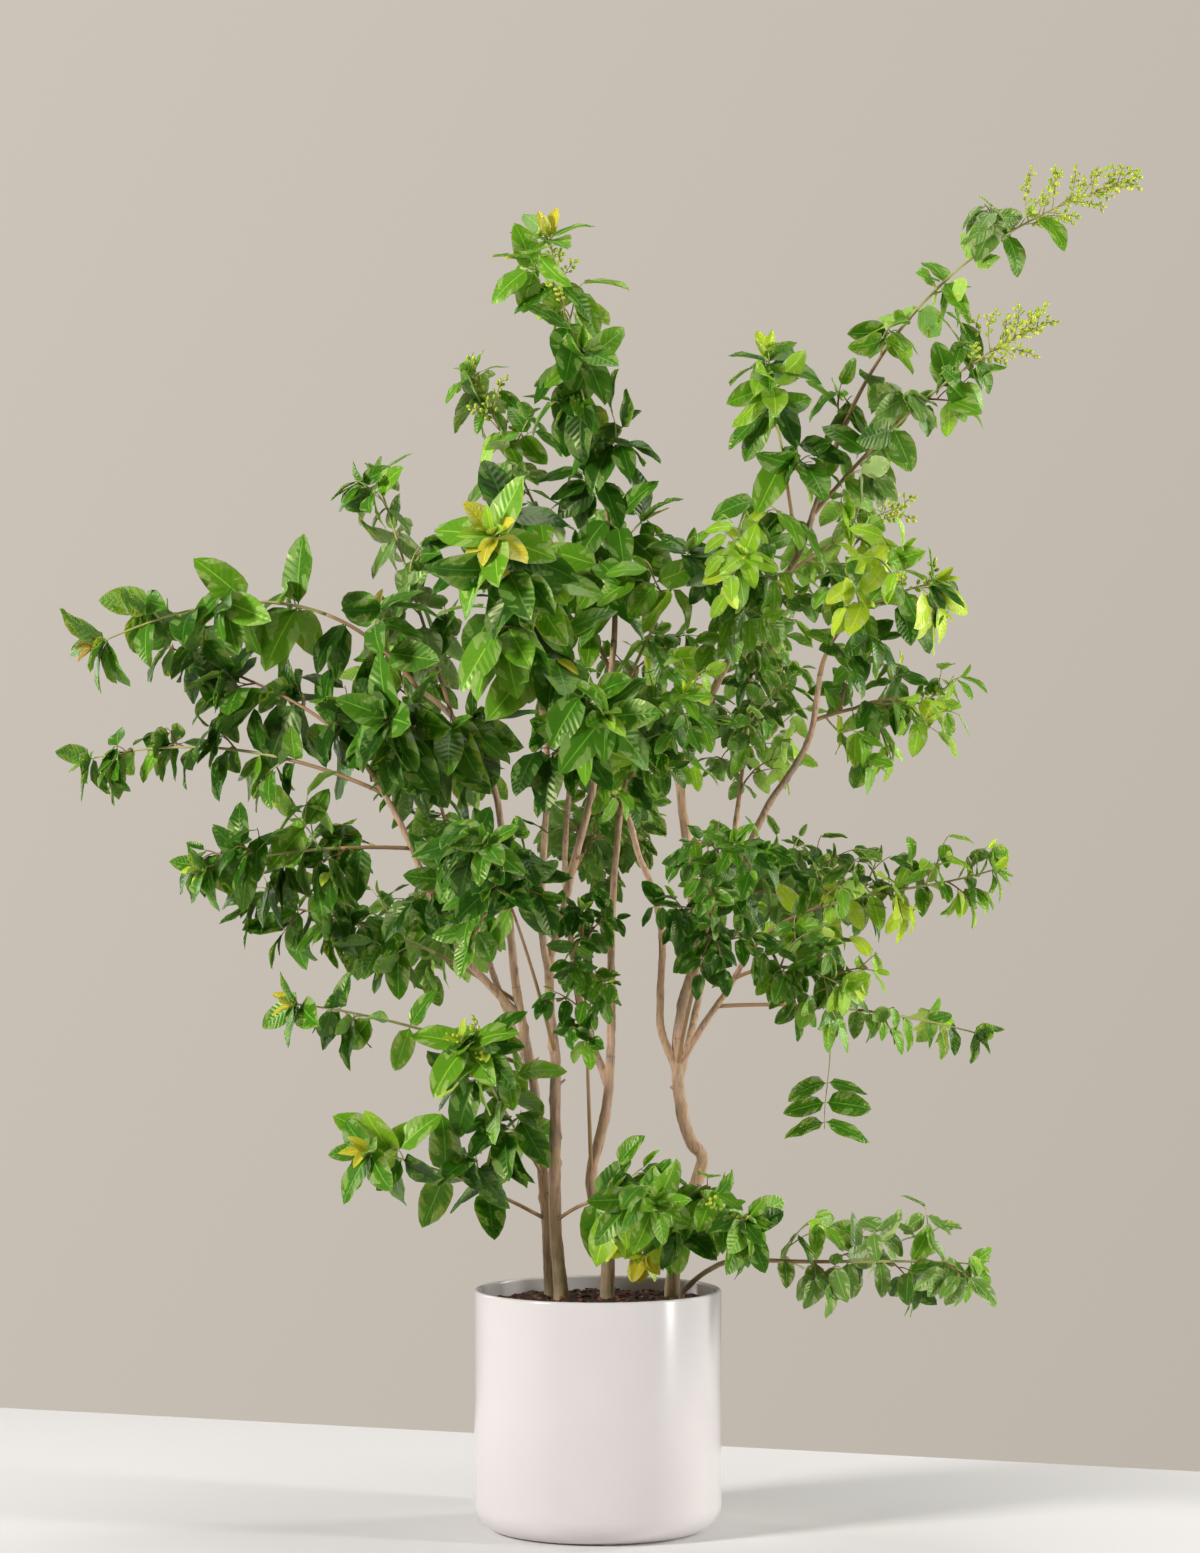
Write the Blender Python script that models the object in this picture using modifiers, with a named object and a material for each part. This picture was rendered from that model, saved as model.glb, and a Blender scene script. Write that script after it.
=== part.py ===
"""A potted crape myrtle, modelled as separate solids.

Five stems rise from the soil of a plain white cylindrical pot and fork into tapering boughs.
Each mass of foliage is one solid: a main stem, side twigs that branch by a seeded rule, and
leaves fused on with their roots sunk through the twig. Lengths are in metres, +Z is up, -Y is
the front, and the origin is the middle of the pot's flat underside.
"""

import random
from dataclasses import dataclass
from math import cos, exp, pi, radians, sin

import bmesh
import bpy
from mathutils import Matrix, Vector
from mathutils.bvhtree import BVHTree

# Pot
POT_RADIUS = 0.165
POT_HEIGHT = 0.320
POT_WALL = 0.007
POT_FLOOR = 0.010
POT_CORNER_RADIUS = 0.036
POT_CORNER_STEPS = 4
POT_RIM_STEPS = 2
POT_INNER_CORNER_STEPS = 2
POT_STEPS = 36

# Soil, a filling that stays clear of the pot's wall
SOIL_TOP = 0.305
SOIL_MOUND = 0.003
SOIL_EDGE = 0.012

# Room left between two solids that touch
GAP = 0.0003

# Corners this close are one, at a tube's caps and at the seam and poles of a turned solid
WELD = 0.00001

# Stems and boughs
STEM_SIDES_STEP = 2
BOUGH_SIDES_STEP = 1
STEPS_PER_BEND = 2
FLARE = 0.16
FLARE_HEIGHT = 0.018
FOOT_STRAIGHT = 0.010
SEAT_STRAIGHT = 0.006

# Main stems of the masses and their side twigs, which are three-sided
MAIN_FOOT_RADIUS = 0.0034
MAIN_TIP_RADIUS = 0.0016
MAIN_STEPS = 6
MAIN_LEAD = 0.33
SEATED_LEAD = 0.28
SEATED_TURN = 0.05
MIDDLE_RISE = 4 / 3
TWIG_FOOT_RADIUS = 0.0024
TWIG_TIP_RADIUS = 0.0013
TWIG_LEAN = radians(52)
TWIG_RISE = 0.012
TWIG_SHORTEST, TWIG_LONGEST = 0.78, 0.95
TWIG_PAIR_AT = 0.62
TWIG_FROM, TWIG_TO = 0.24, 0.84
LEAVES_FROM, LEAVES_TO = 0.20, 0.97
GOLDEN_TURN = radians(137.5)

# Leaves, larger than life because there are fewer
LEAF_LENGTH = 0.106
LEAF_WIDTH = 0.066
LEAF_KEEL = 0.0012
LEAF_RIM = 0.0016
LEAF_WIDEST = 0.44
LEAF_THICKEST = 0.16
LEAF_NECK = 0.016
TIP_SINK = 0.005
LEAF_INSIDE = 0.94
LEVEL_ENOUGH = 0.2
LEAF_TIP_DROOP = 0.007
LEAF_SMALLEST, LEAF_LARGEST = 0.88, 1.10
LEAST_DROOP, MOST_DROOP = 0.26, 1.05
LEAST_LEAN, MOST_LEAN = 0.35, 0.60
LEAF_SPREAD = 0.8
LEAF_TILT = 0.45
TWIG_LEAF_SCALE = 0.9
TIP_LEAF_SHRINK = 4
TIP_LEAF_SCALE = 0.72
TIP_LEAF_DROOP = 0.28
PAIR_ROLL = radians(42)
PAIR_ROLL_JITTER = radians(28)

# A shoot that hangs from the middle of a mass, with level leaf pairs
HANGING_AT = 0.42
HANGING_PAIRS = (0.62, 0.78, 0.94)
HANGING_LEAF_SCALE = 0.46
HANGING_LEAF_DROOP = 0.22

# Flower buds on short twigs past the tip of a shoot
BUD_RADIUS = 0.0055
BUD_TWIG = 0.028
BUD_REACH = 0.30
BUD_SPREAD = 0.7
BUD_SHORTENING = 0.4
END_BUD = 0.5

# Clearance that a twig or leaf keeps from every other solid
CLEAR = 0.0016

POT_COLOUR = (0.80, 0.76, 0.74, 1.0)
SOIL_COLOUR = (0.045, 0.020, 0.012, 1.0)
BARK_COLOUR = (0.36, 0.22, 0.14, 1.0)
LEAF_COLOUR = (0.045, 0.16, 0.03, 1.0)


@dataclass(frozen=True)
class Limb:
    """A stem or bough: what it grows from and where, its bends up to the tip, and its radii."""

    grows_from: str
    at: float
    bends: tuple
    foot_radius: float
    tip_radius: float


@dataclass(frozen=True)
class Mass:
    """A mass of foliage: its limb, its tip, the rise of its middle, its reach and its counts.

    Hanging is the length of a shoot that hangs from its middle, if it has one.
    """

    grows_from: str
    at: float
    tip: tuple
    arch: float
    reach: float
    pairs: int
    twigs: int = 0
    buds: int = 0
    leaf_scale: float = 1.0
    hanging: float = 0.0


STEMS = {
    "stem_left": Limb("", 0, (
        (-0.064, 0.062, 0), (-0.068, 0.060, 0.391), (-0.078, 0.055, 0.517),
        (-0.087, 0.050, 0.594), (-0.100, 0.045, 0.663), (-0.110, 0.045, 0.720),
    ), 0.0080, 0.0058),
    "stem_centre": Limb("", 0, (
        (-0.049, 0.020, 0), (-0.057, 0.020, 0.405), (-0.057, 0.015, 0.550),
        (-0.057, 0.010, 0.628), (-0.064, 0.000, 0.693), (-0.064, 0.000, 0.765),
    ), 0.0092, 0.0058),
    "stem_middle": Limb("", 0, (
        (0.013, 0.030, 0), (0.012, 0.030, 0.370), (-0.007, 0.030, 0.445),
        (-0.007, 0.030, 0.482), (0.003, 0.030, 0.519), (0.013, 0.030, 0.570),
        (0.017, 0.030, 0.628),
    ), 0.0092, 0.0060),
    "stem_right": Limb("", 0, (
        (0.100, 0.050, 0), (0.108, 0.050, 0.385), (0.126, 0.050, 0.440),
        (0.141, 0.050, 0.488), (0.126, 0.050, 0.512), (0.113, 0.050, 0.553),
        (0.107, 0.050, 0.613), (0.108, 0.050, 0.651),
    ), 0.0090, 0.0078),
    "stem_low": Limb("", 0, (
        (0.112, 0.000, 0), (0.139, -0.010, 0.340), (0.168, -0.030, 0.358),
        (0.200, -0.048, 0.366), (0.227, -0.060, 0.364),
    ), 0.0036, 0.0030),
}

BOUGHS = {
    "bough_left_long": Limb("stem_left", 0.90, (
        (-0.150, 0.030, 0.729), (-0.205, 0.015, 0.790), (-0.228, 0.000, 0.858),
        (-0.262, -0.020, 0.940), (-0.299, -0.020, 1.005),
    ), 0.0052, 0.0036),
    "bough_left_high": Limb("stem_left", 1, (
        (-0.118, 0.045, 0.800), (-0.124, 0.035, 0.890), (-0.139, 0.020, 0.990),
        (-0.168, 0.000, 1.049), (-0.202, -0.020, 1.092), (-0.240, -0.030, 1.122),
    ), 0.0056, 0.0034),
    "bough_centre": Limb("stem_centre", 0.94, (
        (-0.074, -0.030, 0.800), (-0.072, -0.048, 0.893), (-0.066, -0.080, 1.012),
        (-0.073, -0.112, 1.092),
    ), 0.0050, 0.0036),
    "bough_leader": Limb("stem_centre", 1, (
        (-0.048, 0.000, 0.812), (-0.036, 0.002, 0.872), (-0.010, 0.020, 0.972),
        (0.011, 0.030, 1.079), (0.022, 0.030, 1.187),
    ), 0.0056, 0.0040),
    "bough_middle_back": Limb("stem_middle", 0.88, (
        (-0.019, 0.058, 0.680), (-0.035, 0.095, 0.770), (-0.045, 0.150, 0.880),
        (-0.040, 0.200, 0.980),
    ), 0.0050, 0.0034),
    "bough_middle": Limb("stem_middle", 1, (
        (0.019, 0.036, 0.700), (0.018, 0.046, 0.775), (0.022, 0.066, 0.863),
        (0.030, 0.085, 0.950),
    ), 0.0058, 0.0038),
    "bough_right_inner": Limb("stem_right", 0.88, (
        (0.086, 0.042, 0.660), (0.084, 0.032, 0.710), (0.086, 0.010, 0.790),
        (0.073, -0.020, 0.854), (0.054, -0.050, 0.901), (0.040, -0.075, 0.956),
    ), 0.0054, 0.0036),
    "bough_right_leader": Limb("stem_right", 1, (
        (0.116, 0.050, 0.705), (0.131, 0.050, 0.763), (0.125, 0.060, 0.877),
        (0.112, 0.060, 0.993), (0.127, 0.050, 1.058), (0.191, 0.030, 1.187),
        (0.262, 0.008, 1.290), (0.300, 0.000, 1.390),
    ), 0.0074, 0.0040),
    "bough_right_upper": Limb("bough_right_leader", 0.14, (
        (0.186, 0.000, 0.874), (0.223, -0.040, 0.960), (0.262, -0.060, 1.020),
        (0.282, -0.080, 1.065), (0.292, -0.100, 1.137),
    ), 0.0054, 0.0036),
    "bough_right_out": Limb("stem_right", 0.89, (
        (0.144, 0.040, 0.673), (0.174, 0.030, 0.717), (0.200, 0.020, 0.765),
    ), 0.0048, 0.0034),
    "bough_back_left": Limb("stem_left", 0.74, (
        (-0.115, 0.110, 0.660), (-0.150, 0.180, 0.750), (-0.190, 0.240, 0.860),
    ), 0.0050, 0.0034),
    "bough_back_right": Limb("stem_right", 0.84, (
        (0.125, 0.100, 0.650), (0.150, 0.170, 0.750), (0.180, 0.230, 0.870),
        (0.195, 0.265, 0.960),
    ), 0.0052, 0.0034),
}

# Limb, place on it, tip, rise, reach, leaf pairs, twigs, buds and leaf scale
MASSES = {
    "foliage_left_high_arch": Mass(
        "bough_left_high", 1, (-0.680, -0.060, 1.184), 0.062, 0.100, 9, 0, 0, 0.90),
    "foliage_left_second_arch": Mass(
        "bough_left_long", 1, (-0.580, 0.060, 1.180), 0.010, 0.105, 6, 1),
    "foliage_left_third_arch": Mass(
        "bough_left_long", 0.93, (-0.685, 0.060, 1.028), 0.035, 0.100, 8, 0, 0, 0.90),
    "foliage_left_middle": Mass(
        "bough_left_long", 0.72, (-0.515, -0.100, 0.885), 0.010, 0.110, 6, 2),
    "foliage_left_under": Mass(
        "stem_left", 0.95, (-0.470, 0.140, 0.828), 0.030, 0.105, 6, 2),
    "foliage_left_low_arch": Mass(
        "stem_left", 0.74, (-0.395, -0.100, 0.705), 0.012, 0.100, 7, 0),
    "foliage_left_cluster": Mass(
        "stem_left", 0.40, (-0.173, -0.090, 0.650), 0.000, 0.110, 4, 2, 3),
    "foliage_left_lowest_arch": Mass(
        "stem_left", 0.26, (-0.300, -0.100, 0.512), 0.010, 0.100, 7, 0),
    "foliage_left_core": Mass(
        "bough_left_high", 0.62, (-0.270, -0.150, 1.080), 0.010, 0.120, 4, 3),
    "foliage_left_inner": Mass(
        "bough_left_long", 0.44, (-0.170, -0.130, 0.900), 0.010, 0.120, 4, 3),
    "foliage_left_grey": Mass(
        "bough_left_high", 0.86, (-0.296, 0.050, 1.405), 0.000, 0.100, 6, 1),
    "foliage_leader": Mass(
        "bough_leader", 1, (-0.064, 0.000, 1.700), 0.000, 0.115, 10, 2, 3),
    "foliage_leader_side": Mass(
        "bough_leader", 0.90, (-0.168, 0.085, 1.550), 0.000, 0.100, 6, 1, 4, 0.85),
    "foliage_rosette": Mass(
        "bough_centre", 1, (-0.132, -0.285, 1.310), 0.000, 0.130, 6, 1, 0, 1.15),
    "foliage_centre_high": Mass(
        "bough_leader", 0.72, (0.120, -0.080, 1.300), 0.000, 0.120, 5, 3),
    "foliage_centre_front": Mass(
        "bough_centre", 0.76, (0.010, -0.260, 1.080), 0.020, 0.125, 4, 3, 0, 1.1),
    "foliage_centre_inner": Mass(
        "bough_middle", 1, (0.080, 0.160, 1.200), 0.000, 0.120, 5, 3),
    "foliage_centre_right": Mass(
        "bough_right_inner", 1, (0.110, -0.210, 1.110), 0.000, 0.120, 4, 3),
    "foliage_back_high": Mass(
        "bough_middle_back", 1, (-0.080, 0.330, 1.310), 0.020, 0.130, 6, 2),
    "foliage_back_middle": Mass(
        "bough_middle_back", 0.66, (0.030, 0.430, 0.950), 0.020, 0.125, 5, 3),
    "foliage_front_left": Mass(
        "stem_centre", 0.72, (-0.140, -0.380, 0.920), 0.020, 0.120, 6, 2),
    "foliage_front_right": Mass(
        "stem_right", 0.90, (0.170, -0.360, 0.920), 0.020, 0.120, 6, 2),
    "foliage_centre_low": Mass(
        "stem_centre", 0.24, (0.010, -0.170, 0.450), 0.020, 0.110, 4, 2, 0, 1.1),
    "foliage_centre_low_right": Mass(
        "stem_middle", 0.26, (0.195, -0.140, 0.425), 0.015, 0.100, 6, 0, 2),
    "foliage_middle_thin": Mass(
        "stem_middle", 0.52, (-0.020, -0.170, 0.830), 0.000, 0.100, 4, 2, 0, 0.8),
    "foliage_right_long_shoot": Mass(
        "bough_right_leader", 1, (0.722, 0.050, 1.806), 0.075, 0.095, 10, 0, 6, 0.85),
    "foliage_right_second_shoot": Mass(
        "bough_right_leader", 0.95, (0.580, -0.100, 1.595), 0.030, 0.095, 7, 0, 4, 0.85),
    "foliage_right_leader": Mass(
        "bough_right_leader", 0.88, (0.225, -0.080, 1.535), 0.000, 0.110, 8, 1),
    "foliage_right_bud_shoot": Mass(
        "bough_right_leader", 0.84, (0.410, 0.130, 1.360), 0.010, 0.100, 5, 1, 3, 0.85),
    "foliage_right_side_upper": Mass(
        "bough_right_upper", 1, (0.435, -0.190, 1.255), 0.020, 0.115, 6, 2),
    "foliage_right_side_lower": Mass(
        "bough_right_upper", 0.86, (0.450, 0.010, 1.100), 0.010, 0.115, 6, 2),
    "foliage_right_core": Mass(
        "bough_right_leader", 0.72, (0.190, -0.170, 1.290), 0.000, 0.120, 5, 3),
    "foliage_right_middle_shoot": Mass(
        "bough_right_out", 1, (0.530, 0.000, 0.880), 0.000, 0.100, 8, 1),
    "foliage_right_centre": Mass(
        "bough_right_out", 0.80, (0.320, -0.130, 0.730), 0.020, 0.110, 4, 3),
    "foliage_right_sparse_shoot": Mass(
        "bough_right_out", 0.55, (0.515, 0.110, 0.655), 0.015, 0.105, 5, 1, hanging=0.165),
    "foliage_low_right": Mass(
        "stem_low", 1, (0.490, -0.100, 0.364), 0.004, 0.110, 7, 2),
    "foliage_base_sprout": Mass(
        "stem_right", 0.15, (0.060, -0.010, 0.366), 0.004, 0.080, 2, 0, 0, 0.6),
    "foliage_back_right_high": Mass(
        "bough_back_right", 1, (0.240, 0.400, 1.220), 0.020, 0.125, 6, 2),
    "foliage_back_right_low": Mass(
        "bough_back_right", 0.64, (0.350, 0.330, 0.850), 0.020, 0.125, 6, 2),
    "foliage_back_left_high": Mass(
        "bough_back_left", 1, (-0.290, 0.370, 1.170), 0.020, 0.125, 6, 2),
    "foliage_back_left_low": Mass(
        "bough_back_left", 0.60, (-0.250, 0.400, 0.790), 0.020, 0.125, 6, 2),
}


def clear_scene():
    for held in list(bpy.data.objects):
        bpy.data.objects.remove(held, do_unlink=True)


def new_collection(name):
    made = bpy.data.collections.new(name)
    bpy.context.scene.collection.children.link(made)
    return made


def new_material(name, colour, roughness):
    made = bpy.data.materials.new(name)
    made.use_nodes = True
    shader = made.node_tree.nodes["Principled BSDF"]
    shader.inputs["Base Color"].default_value = colour
    shader.inputs["Roughness"].default_value = roughness
    shader.inputs["Metallic"].default_value = 0.0
    return made


def link(name, mesh, collection, material):
    """Adds a mesh to the collection as an object with its material."""
    held = bpy.data.objects.new(name, mesh)
    collection.objects.link(held)
    mesh.materials.clear()
    mesh.materials.append(material)
    return held


def drop(held):
    """Removes an object together with its mesh or curve."""
    data = held.data
    bpy.data.objects.remove(held, do_unlink=True)
    if isinstance(data, bpy.types.Mesh):
        bpy.data.meshes.remove(data)
    else:
        bpy.data.curves.remove(data)


def evaluated_mesh(held):
    """The object's mesh with its modifiers or bevel applied."""
    bpy.context.view_layer.update()
    seen = held.evaluated_get(bpy.context.evaluated_depsgraph_get())
    return bpy.data.meshes.new_from_object(seen)


def weld_caps(mesh):
    """Joins a tube's loose caps to its wall."""
    shape = bmesh.new()
    shape.from_mesh(mesh)
    bmesh.ops.remove_doubles(shape, verts=shape.verts, dist=WELD)
    shape.to_mesh(mesh)
    shape.free()


def turned(name, profile, collection, material):
    """A closed solid turned about +Z from (radius, height) points, with a Screw modifier."""
    shape = bmesh.new()
    points = [shape.verts.new((radius, 0, height)) for radius, height in profile]
    for first, second in zip(points, points[1:]):
        shape.edges.new((first, second))
    mesh = bpy.data.meshes.new(name)
    shape.to_mesh(mesh)
    shape.free()
    held = link(name, mesh, collection, material)
    screw = held.modifiers.new("turned", "SCREW")
    screw.steps = POT_STEPS
    screw.render_steps = POT_STEPS
    screw.use_merge_vertices = True
    screw.merge_threshold = WELD
    screw.use_smooth_shade = True
    return held


def arc(centre, radius, start, end, steps):
    """Points (radius, height) along an arc about a centre, its angles in degrees."""
    angles = [radians(start + (end - start) * step / steps) for step in range(steps + 1)]
    return [(centre[0] + radius * cos(a), centre[1] + radius * sin(a)) for a in angles]


def pot_profile():
    """From the middle of the inner floor over the rim, down the outside, to the underside."""
    inner = POT_RADIUS - POT_WALL
    inner_corner = POT_CORNER_RADIUS - POT_WALL
    rim = POT_WALL / 2
    return [
        (0, POT_FLOOR),
        *arc((inner - inner_corner, POT_FLOOR + inner_corner), inner_corner, -90, 0,
             POT_INNER_CORNER_STEPS),
        *arc((POT_RADIUS - rim, POT_HEIGHT - rim), rim, 180, 0, POT_RIM_STEPS),
        *arc((POT_RADIUS - POT_CORNER_RADIUS, POT_CORNER_RADIUS), POT_CORNER_RADIUS, 0, -90,
             POT_CORNER_STEPS),
        (0, 0),
    ]


def soil_profile():
    """From the middle of the mound out to the wall, down beside it, and in along the floor."""
    inner = POT_RADIUS - POT_WALL
    corner = POT_CORNER_RADIUS - POT_WALL
    outer = inner * cos(pi / POT_STEPS) - GAP
    floor = POT_FLOOR + GAP
    edge = arc((outer - corner, floor + corner), corner, 0, -90, POT_INNER_CORNER_STEPS)
    return [
        (0, SOIL_TOP),
        (inner - SOIL_EDGE, SOIL_TOP),
        (outer, SOIL_TOP - SOIL_MOUND),
        *edge,
        (0, floor),
    ]


def curve_through(points, steps):
    """Points along a smooth curve that passes through the given ones (Catmull-Rom spans)."""
    ends = [points[0] * 2 - points[1], *points, points[-1] * 2 - points[-2]]
    path = []
    for before, start, end, after in zip(ends, ends[1:], ends[2:], ends[3:]):
        for step in range(steps):
            t = step / steps
            path.append((
                start * 2
                + (end - before) * t
                + (before * 2 - start * 5 + end * 4 - after) * t ** 2
                + (start * 3 - before - end * 3 + after) * t ** 3
            ) / 2)
    return [*path, points[-1]]


def lengths_along(path):
    """How far along the path each of its points lies, from 0 to 1."""
    along = [0.0]
    for first, second in zip(path, path[1:]):
        along.append(along[-1] + (second - first).length)
    return [length / along[-1] for length in along]


def place_along(path, fraction):
    """The point and the direction at a fraction of the path's length."""
    along = lengths_along(path)
    for index in range(len(path) - 1):
        if fraction <= along[index + 1] + 1e-9:
            span = along[index + 1] - along[index]
            point = path[index].lerp(path[index + 1], (fraction - along[index]) / span)
            return point, (path[index + 1] - path[index]).normalized()
    return path[-1], (path[-1] - path[-2]).normalized()


def limb_path(limb, paths):
    """A stem starts upright on the soil; a bough inside its limb or just past its tip."""
    bends = [Vector(bend) for bend in limb.bends]
    if not limb.grows_from:
        foot = Vector((bends[0].x, bends[0].y, SOIL_TOP + GAP))
        straight = foot + Vector((0, 0, FOOT_STRAIGHT))
        return [foot, *curve_through([straight, *bends[1:]], STEPS_PER_BEND)]
    start, along = place_along(paths[limb.grows_from], limb.at)
    if limb.at < 1:
        return curve_through([start, *bends], STEPS_PER_BEND)
    seat = start + along * GAP
    return [seat, *curve_through([seat + along * SEAT_STRAIGHT, *bends], STEPS_PER_BEND)]


def limb_radii(limb, path):
    """An even taper from foot to tip, with a flare where a stem meets the soil."""
    radii = [
        limb.foot_radius + (limb.tip_radius - limb.foot_radius) * t
        for t in lengths_along(path)
    ]
    if limb.grows_from:
        return radii
    return [
        radius * (1 + FLARE * exp(-(point.z - SOIL_TOP) / FLARE_HEIGHT))
        for radius, point in zip(radii, path)
    ]


def tube(name, path, radii, sides_step, section=None):
    """A closed tube along a path: round with a bevel depth, or swept with a section curve."""
    curve = bpy.data.curves.new(name, "CURVE")
    curve.dimensions = "3D"
    curve.use_fill_caps = True
    curve.resolution_u = 1
    if section:
        curve.bevel_mode = "OBJECT"
        curve.bevel_object = section
    else:
        curve.bevel_depth = 1.0
        curve.bevel_resolution = sides_step
    spline = curve.splines.new("POLY")
    spline.points.add(len(path) - 1)
    for point, place, radius in zip(spline.points, path, radii):
        point.co = (*place, 1)
        point.radius = radius
    held = bpy.data.objects.new(name, curve)
    bpy.context.scene.collection.objects.link(held)
    mesh = evaluated_mesh(held)
    weld_caps(mesh)
    drop(held)
    mesh.name = name
    return mesh


def cut_clear(held, path, radii, sides_step):
    """Cuts the foot of a piece to the surface of the limb that it grows from, a gap clear."""
    wider = [radius + GAP for radius in radii]
    cutter = bpy.data.objects.new("cutter", tube("cutter", path, wider, sides_step))
    cutter.hide_render = True
    cutter.display_type = "WIRE"
    bpy.context.scene.collection.objects.link(cutter)
    cut = held.modifiers.new("seat", "BOOLEAN")
    cut.operation = "DIFFERENCE"
    cut.object = cutter
    take_result(held)
    drop(cutter)
    keep_body(held.data)


def take_result(held):
    """Applies an object's modifiers to its mesh."""
    result = evaluated_mesh(held)
    old = held.data
    name = old.name
    held.modifiers.clear()
    held.data = result
    bpy.data.meshes.remove(old)
    result.name = name


def keep_body(mesh):
    """Keeps the largest closed body of a mesh, without scraps and sealed hollows."""
    shape = bmesh.new()
    shape.from_mesh(mesh)
    unseen = set(shape.faces)
    bodies = []
    while unseen:
        front = [unseen.pop()]
        body = set(front)
        while front:
            for edge in front.pop().edges:
                for face in edge.link_faces:
                    if len(edge.link_faces) == 2 and face in unseen:
                        unseen.discard(face)
                        body.add(face)
                        front.append(face)
        bodies.append(body)
    bodies.sort(key=len)
    loose = [face for body in bodies[:-1] for face in body]
    bmesh.ops.delete(shape, geom=loose, context="FACES")
    shape.to_mesh(mesh)
    shape.free()


def tree_of(mesh, matrix=Matrix()):
    """A mesh's surface in world space, ready to be tested for contact."""
    corners = [matrix @ vert.co for vert in mesh.vertices]
    return BVHTree.FromPolygons(corners, [tuple(face.vertices) for face in mesh.polygons])


def section_curve(collection):
    """The triangle that twigs are swept with, one unit in radius."""
    curve = bpy.data.curves.new("twig_section", "CURVE")
    curve.dimensions = "2D"
    spline = curve.splines.new("POLY")
    spline.points.add(2)
    for index, point in enumerate(spline.points):
        angle = -2 * pi * index / 3
        point.co = (cos(angle), sin(angle), 0, 1)
    spline.use_cyclic_u = True
    held = bpy.data.objects.new("twig_section", curve)
    held.hide_render = True
    held.display_type = "WIRE"
    collection.objects.link(held)
    return held


def leaf_shape(clear=0.0, neck=0.0):
    """A leaf of six faces along +Z, its root at the origin, creased across and keeled beneath.

    A test copy is grown by the clearance on every side and starts a neck's length out.
    """
    shape = bmesh.new()
    bmesh.ops.create_uvsphere(shape, u_segments=3, v_segments=2, radius=1)
    for vert in shape.verts:
        if vert.co.z > 0.5:
            vert.co = (0, -LEAF_TIP_DROOP, LEAF_LENGTH + clear)
        elif vert.co.z < -0.5:
            vert.co = (0, 0, neck)
        elif abs(vert.co.y) > 0.5:
            side = LEAF_WIDTH / 2 + clear
            vert.co = (side if vert.co.y > 0 else -side, LEAF_RIM + clear, LEAF_LENGTH * LEAF_WIDEST)
        else:
            vert.co = (0, -LEAF_KEEL - clear, LEAF_LENGTH * LEAF_THICKEST)
    mesh = bpy.data.meshes.new("leaf")
    shape.to_mesh(mesh)
    shape.free()
    return mesh


def bud_shape():
    """A unit flower bud of eight faces."""
    shape = bmesh.new()
    bmesh.ops.create_uvsphere(shape, u_segments=4, v_segments=2, radius=1)
    mesh = bpy.data.meshes.new("bud")
    shape.to_mesh(mesh)
    shape.free()
    return mesh


def leaf_matrix(root, along, face, size):
    """Places a leaf: its root on the twig, its length along, its top towards face."""
    along = along.normalized()
    normal = (face - along * face.dot(along)).normalized()
    across = normal.cross(along)
    turn = Matrix((across, normal, along)).transposed().to_4x4()
    return Matrix.Translation(root) @ turn @ Matrix.Scale(size, 4)


def distance_to(point, first, second):
    """How far a point lies from the span between two others."""
    span = second - first
    t = (point - first).dot(span) / span.length_squared
    return (point - first - span * min(max(t, 0), 1)).length


def level_side(along):
    """A level direction square to a stem's direction."""
    side = Vector((along.y, -along.x, 0))
    return side.normalized() if side.length > LEVEL_ENOUGH else Vector((1, 0, 0))


def main_path(mass, paths):
    """The main stem: out of its limb along the limb's own run, then over to the tip."""
    start, along = place_along(paths[mass.grows_from], mass.at)
    tip = Vector(mass.tip)
    chord = tip - start
    rise = Vector((0, 0, mass.arch * MIDDLE_RISE))
    if mass.at < 1:
        lead = chord * MAIN_LEAD
        seat = []
    else:
        lead = along * chord.length * SEATED_LEAD + chord * SEATED_TURN
        seat = [start + along * GAP]
        start = start + along * (GAP + SEAT_STRAIGHT)
    first = start + lead + rise
    second = tip - chord * MAIN_LEAD + rise
    path = []
    for step in range(MAIN_STEPS + 1):
        t = step / MAIN_STEPS
        path.append(
            start * (1 - t) ** 3
            + first * 3 * t * (1 - t) ** 2
            + second * 3 * t ** 2 * (1 - t)
            + tip * t ** 3
        )
    return [*seat, *path]


def main_radii(path):
    return [
        MAIN_FOOT_RADIUS + (MAIN_TIP_RADIUS - MAIN_FOOT_RADIUS) * t
        for t in lengths_along(path)
    ]


class Shapes:
    """The shapes that every mass is grown from, and the wider leaves that room is tested with."""

    def __init__(self, guides):
        self.section = section_curve(guides)
        self.leaf = leaf_shape()
        self.whole_test = leaf_shape(CLEAR)
        self.blade_test = leaf_shape(CLEAR, LEAF_NECK)
        self.bud = bud_shape()


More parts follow.
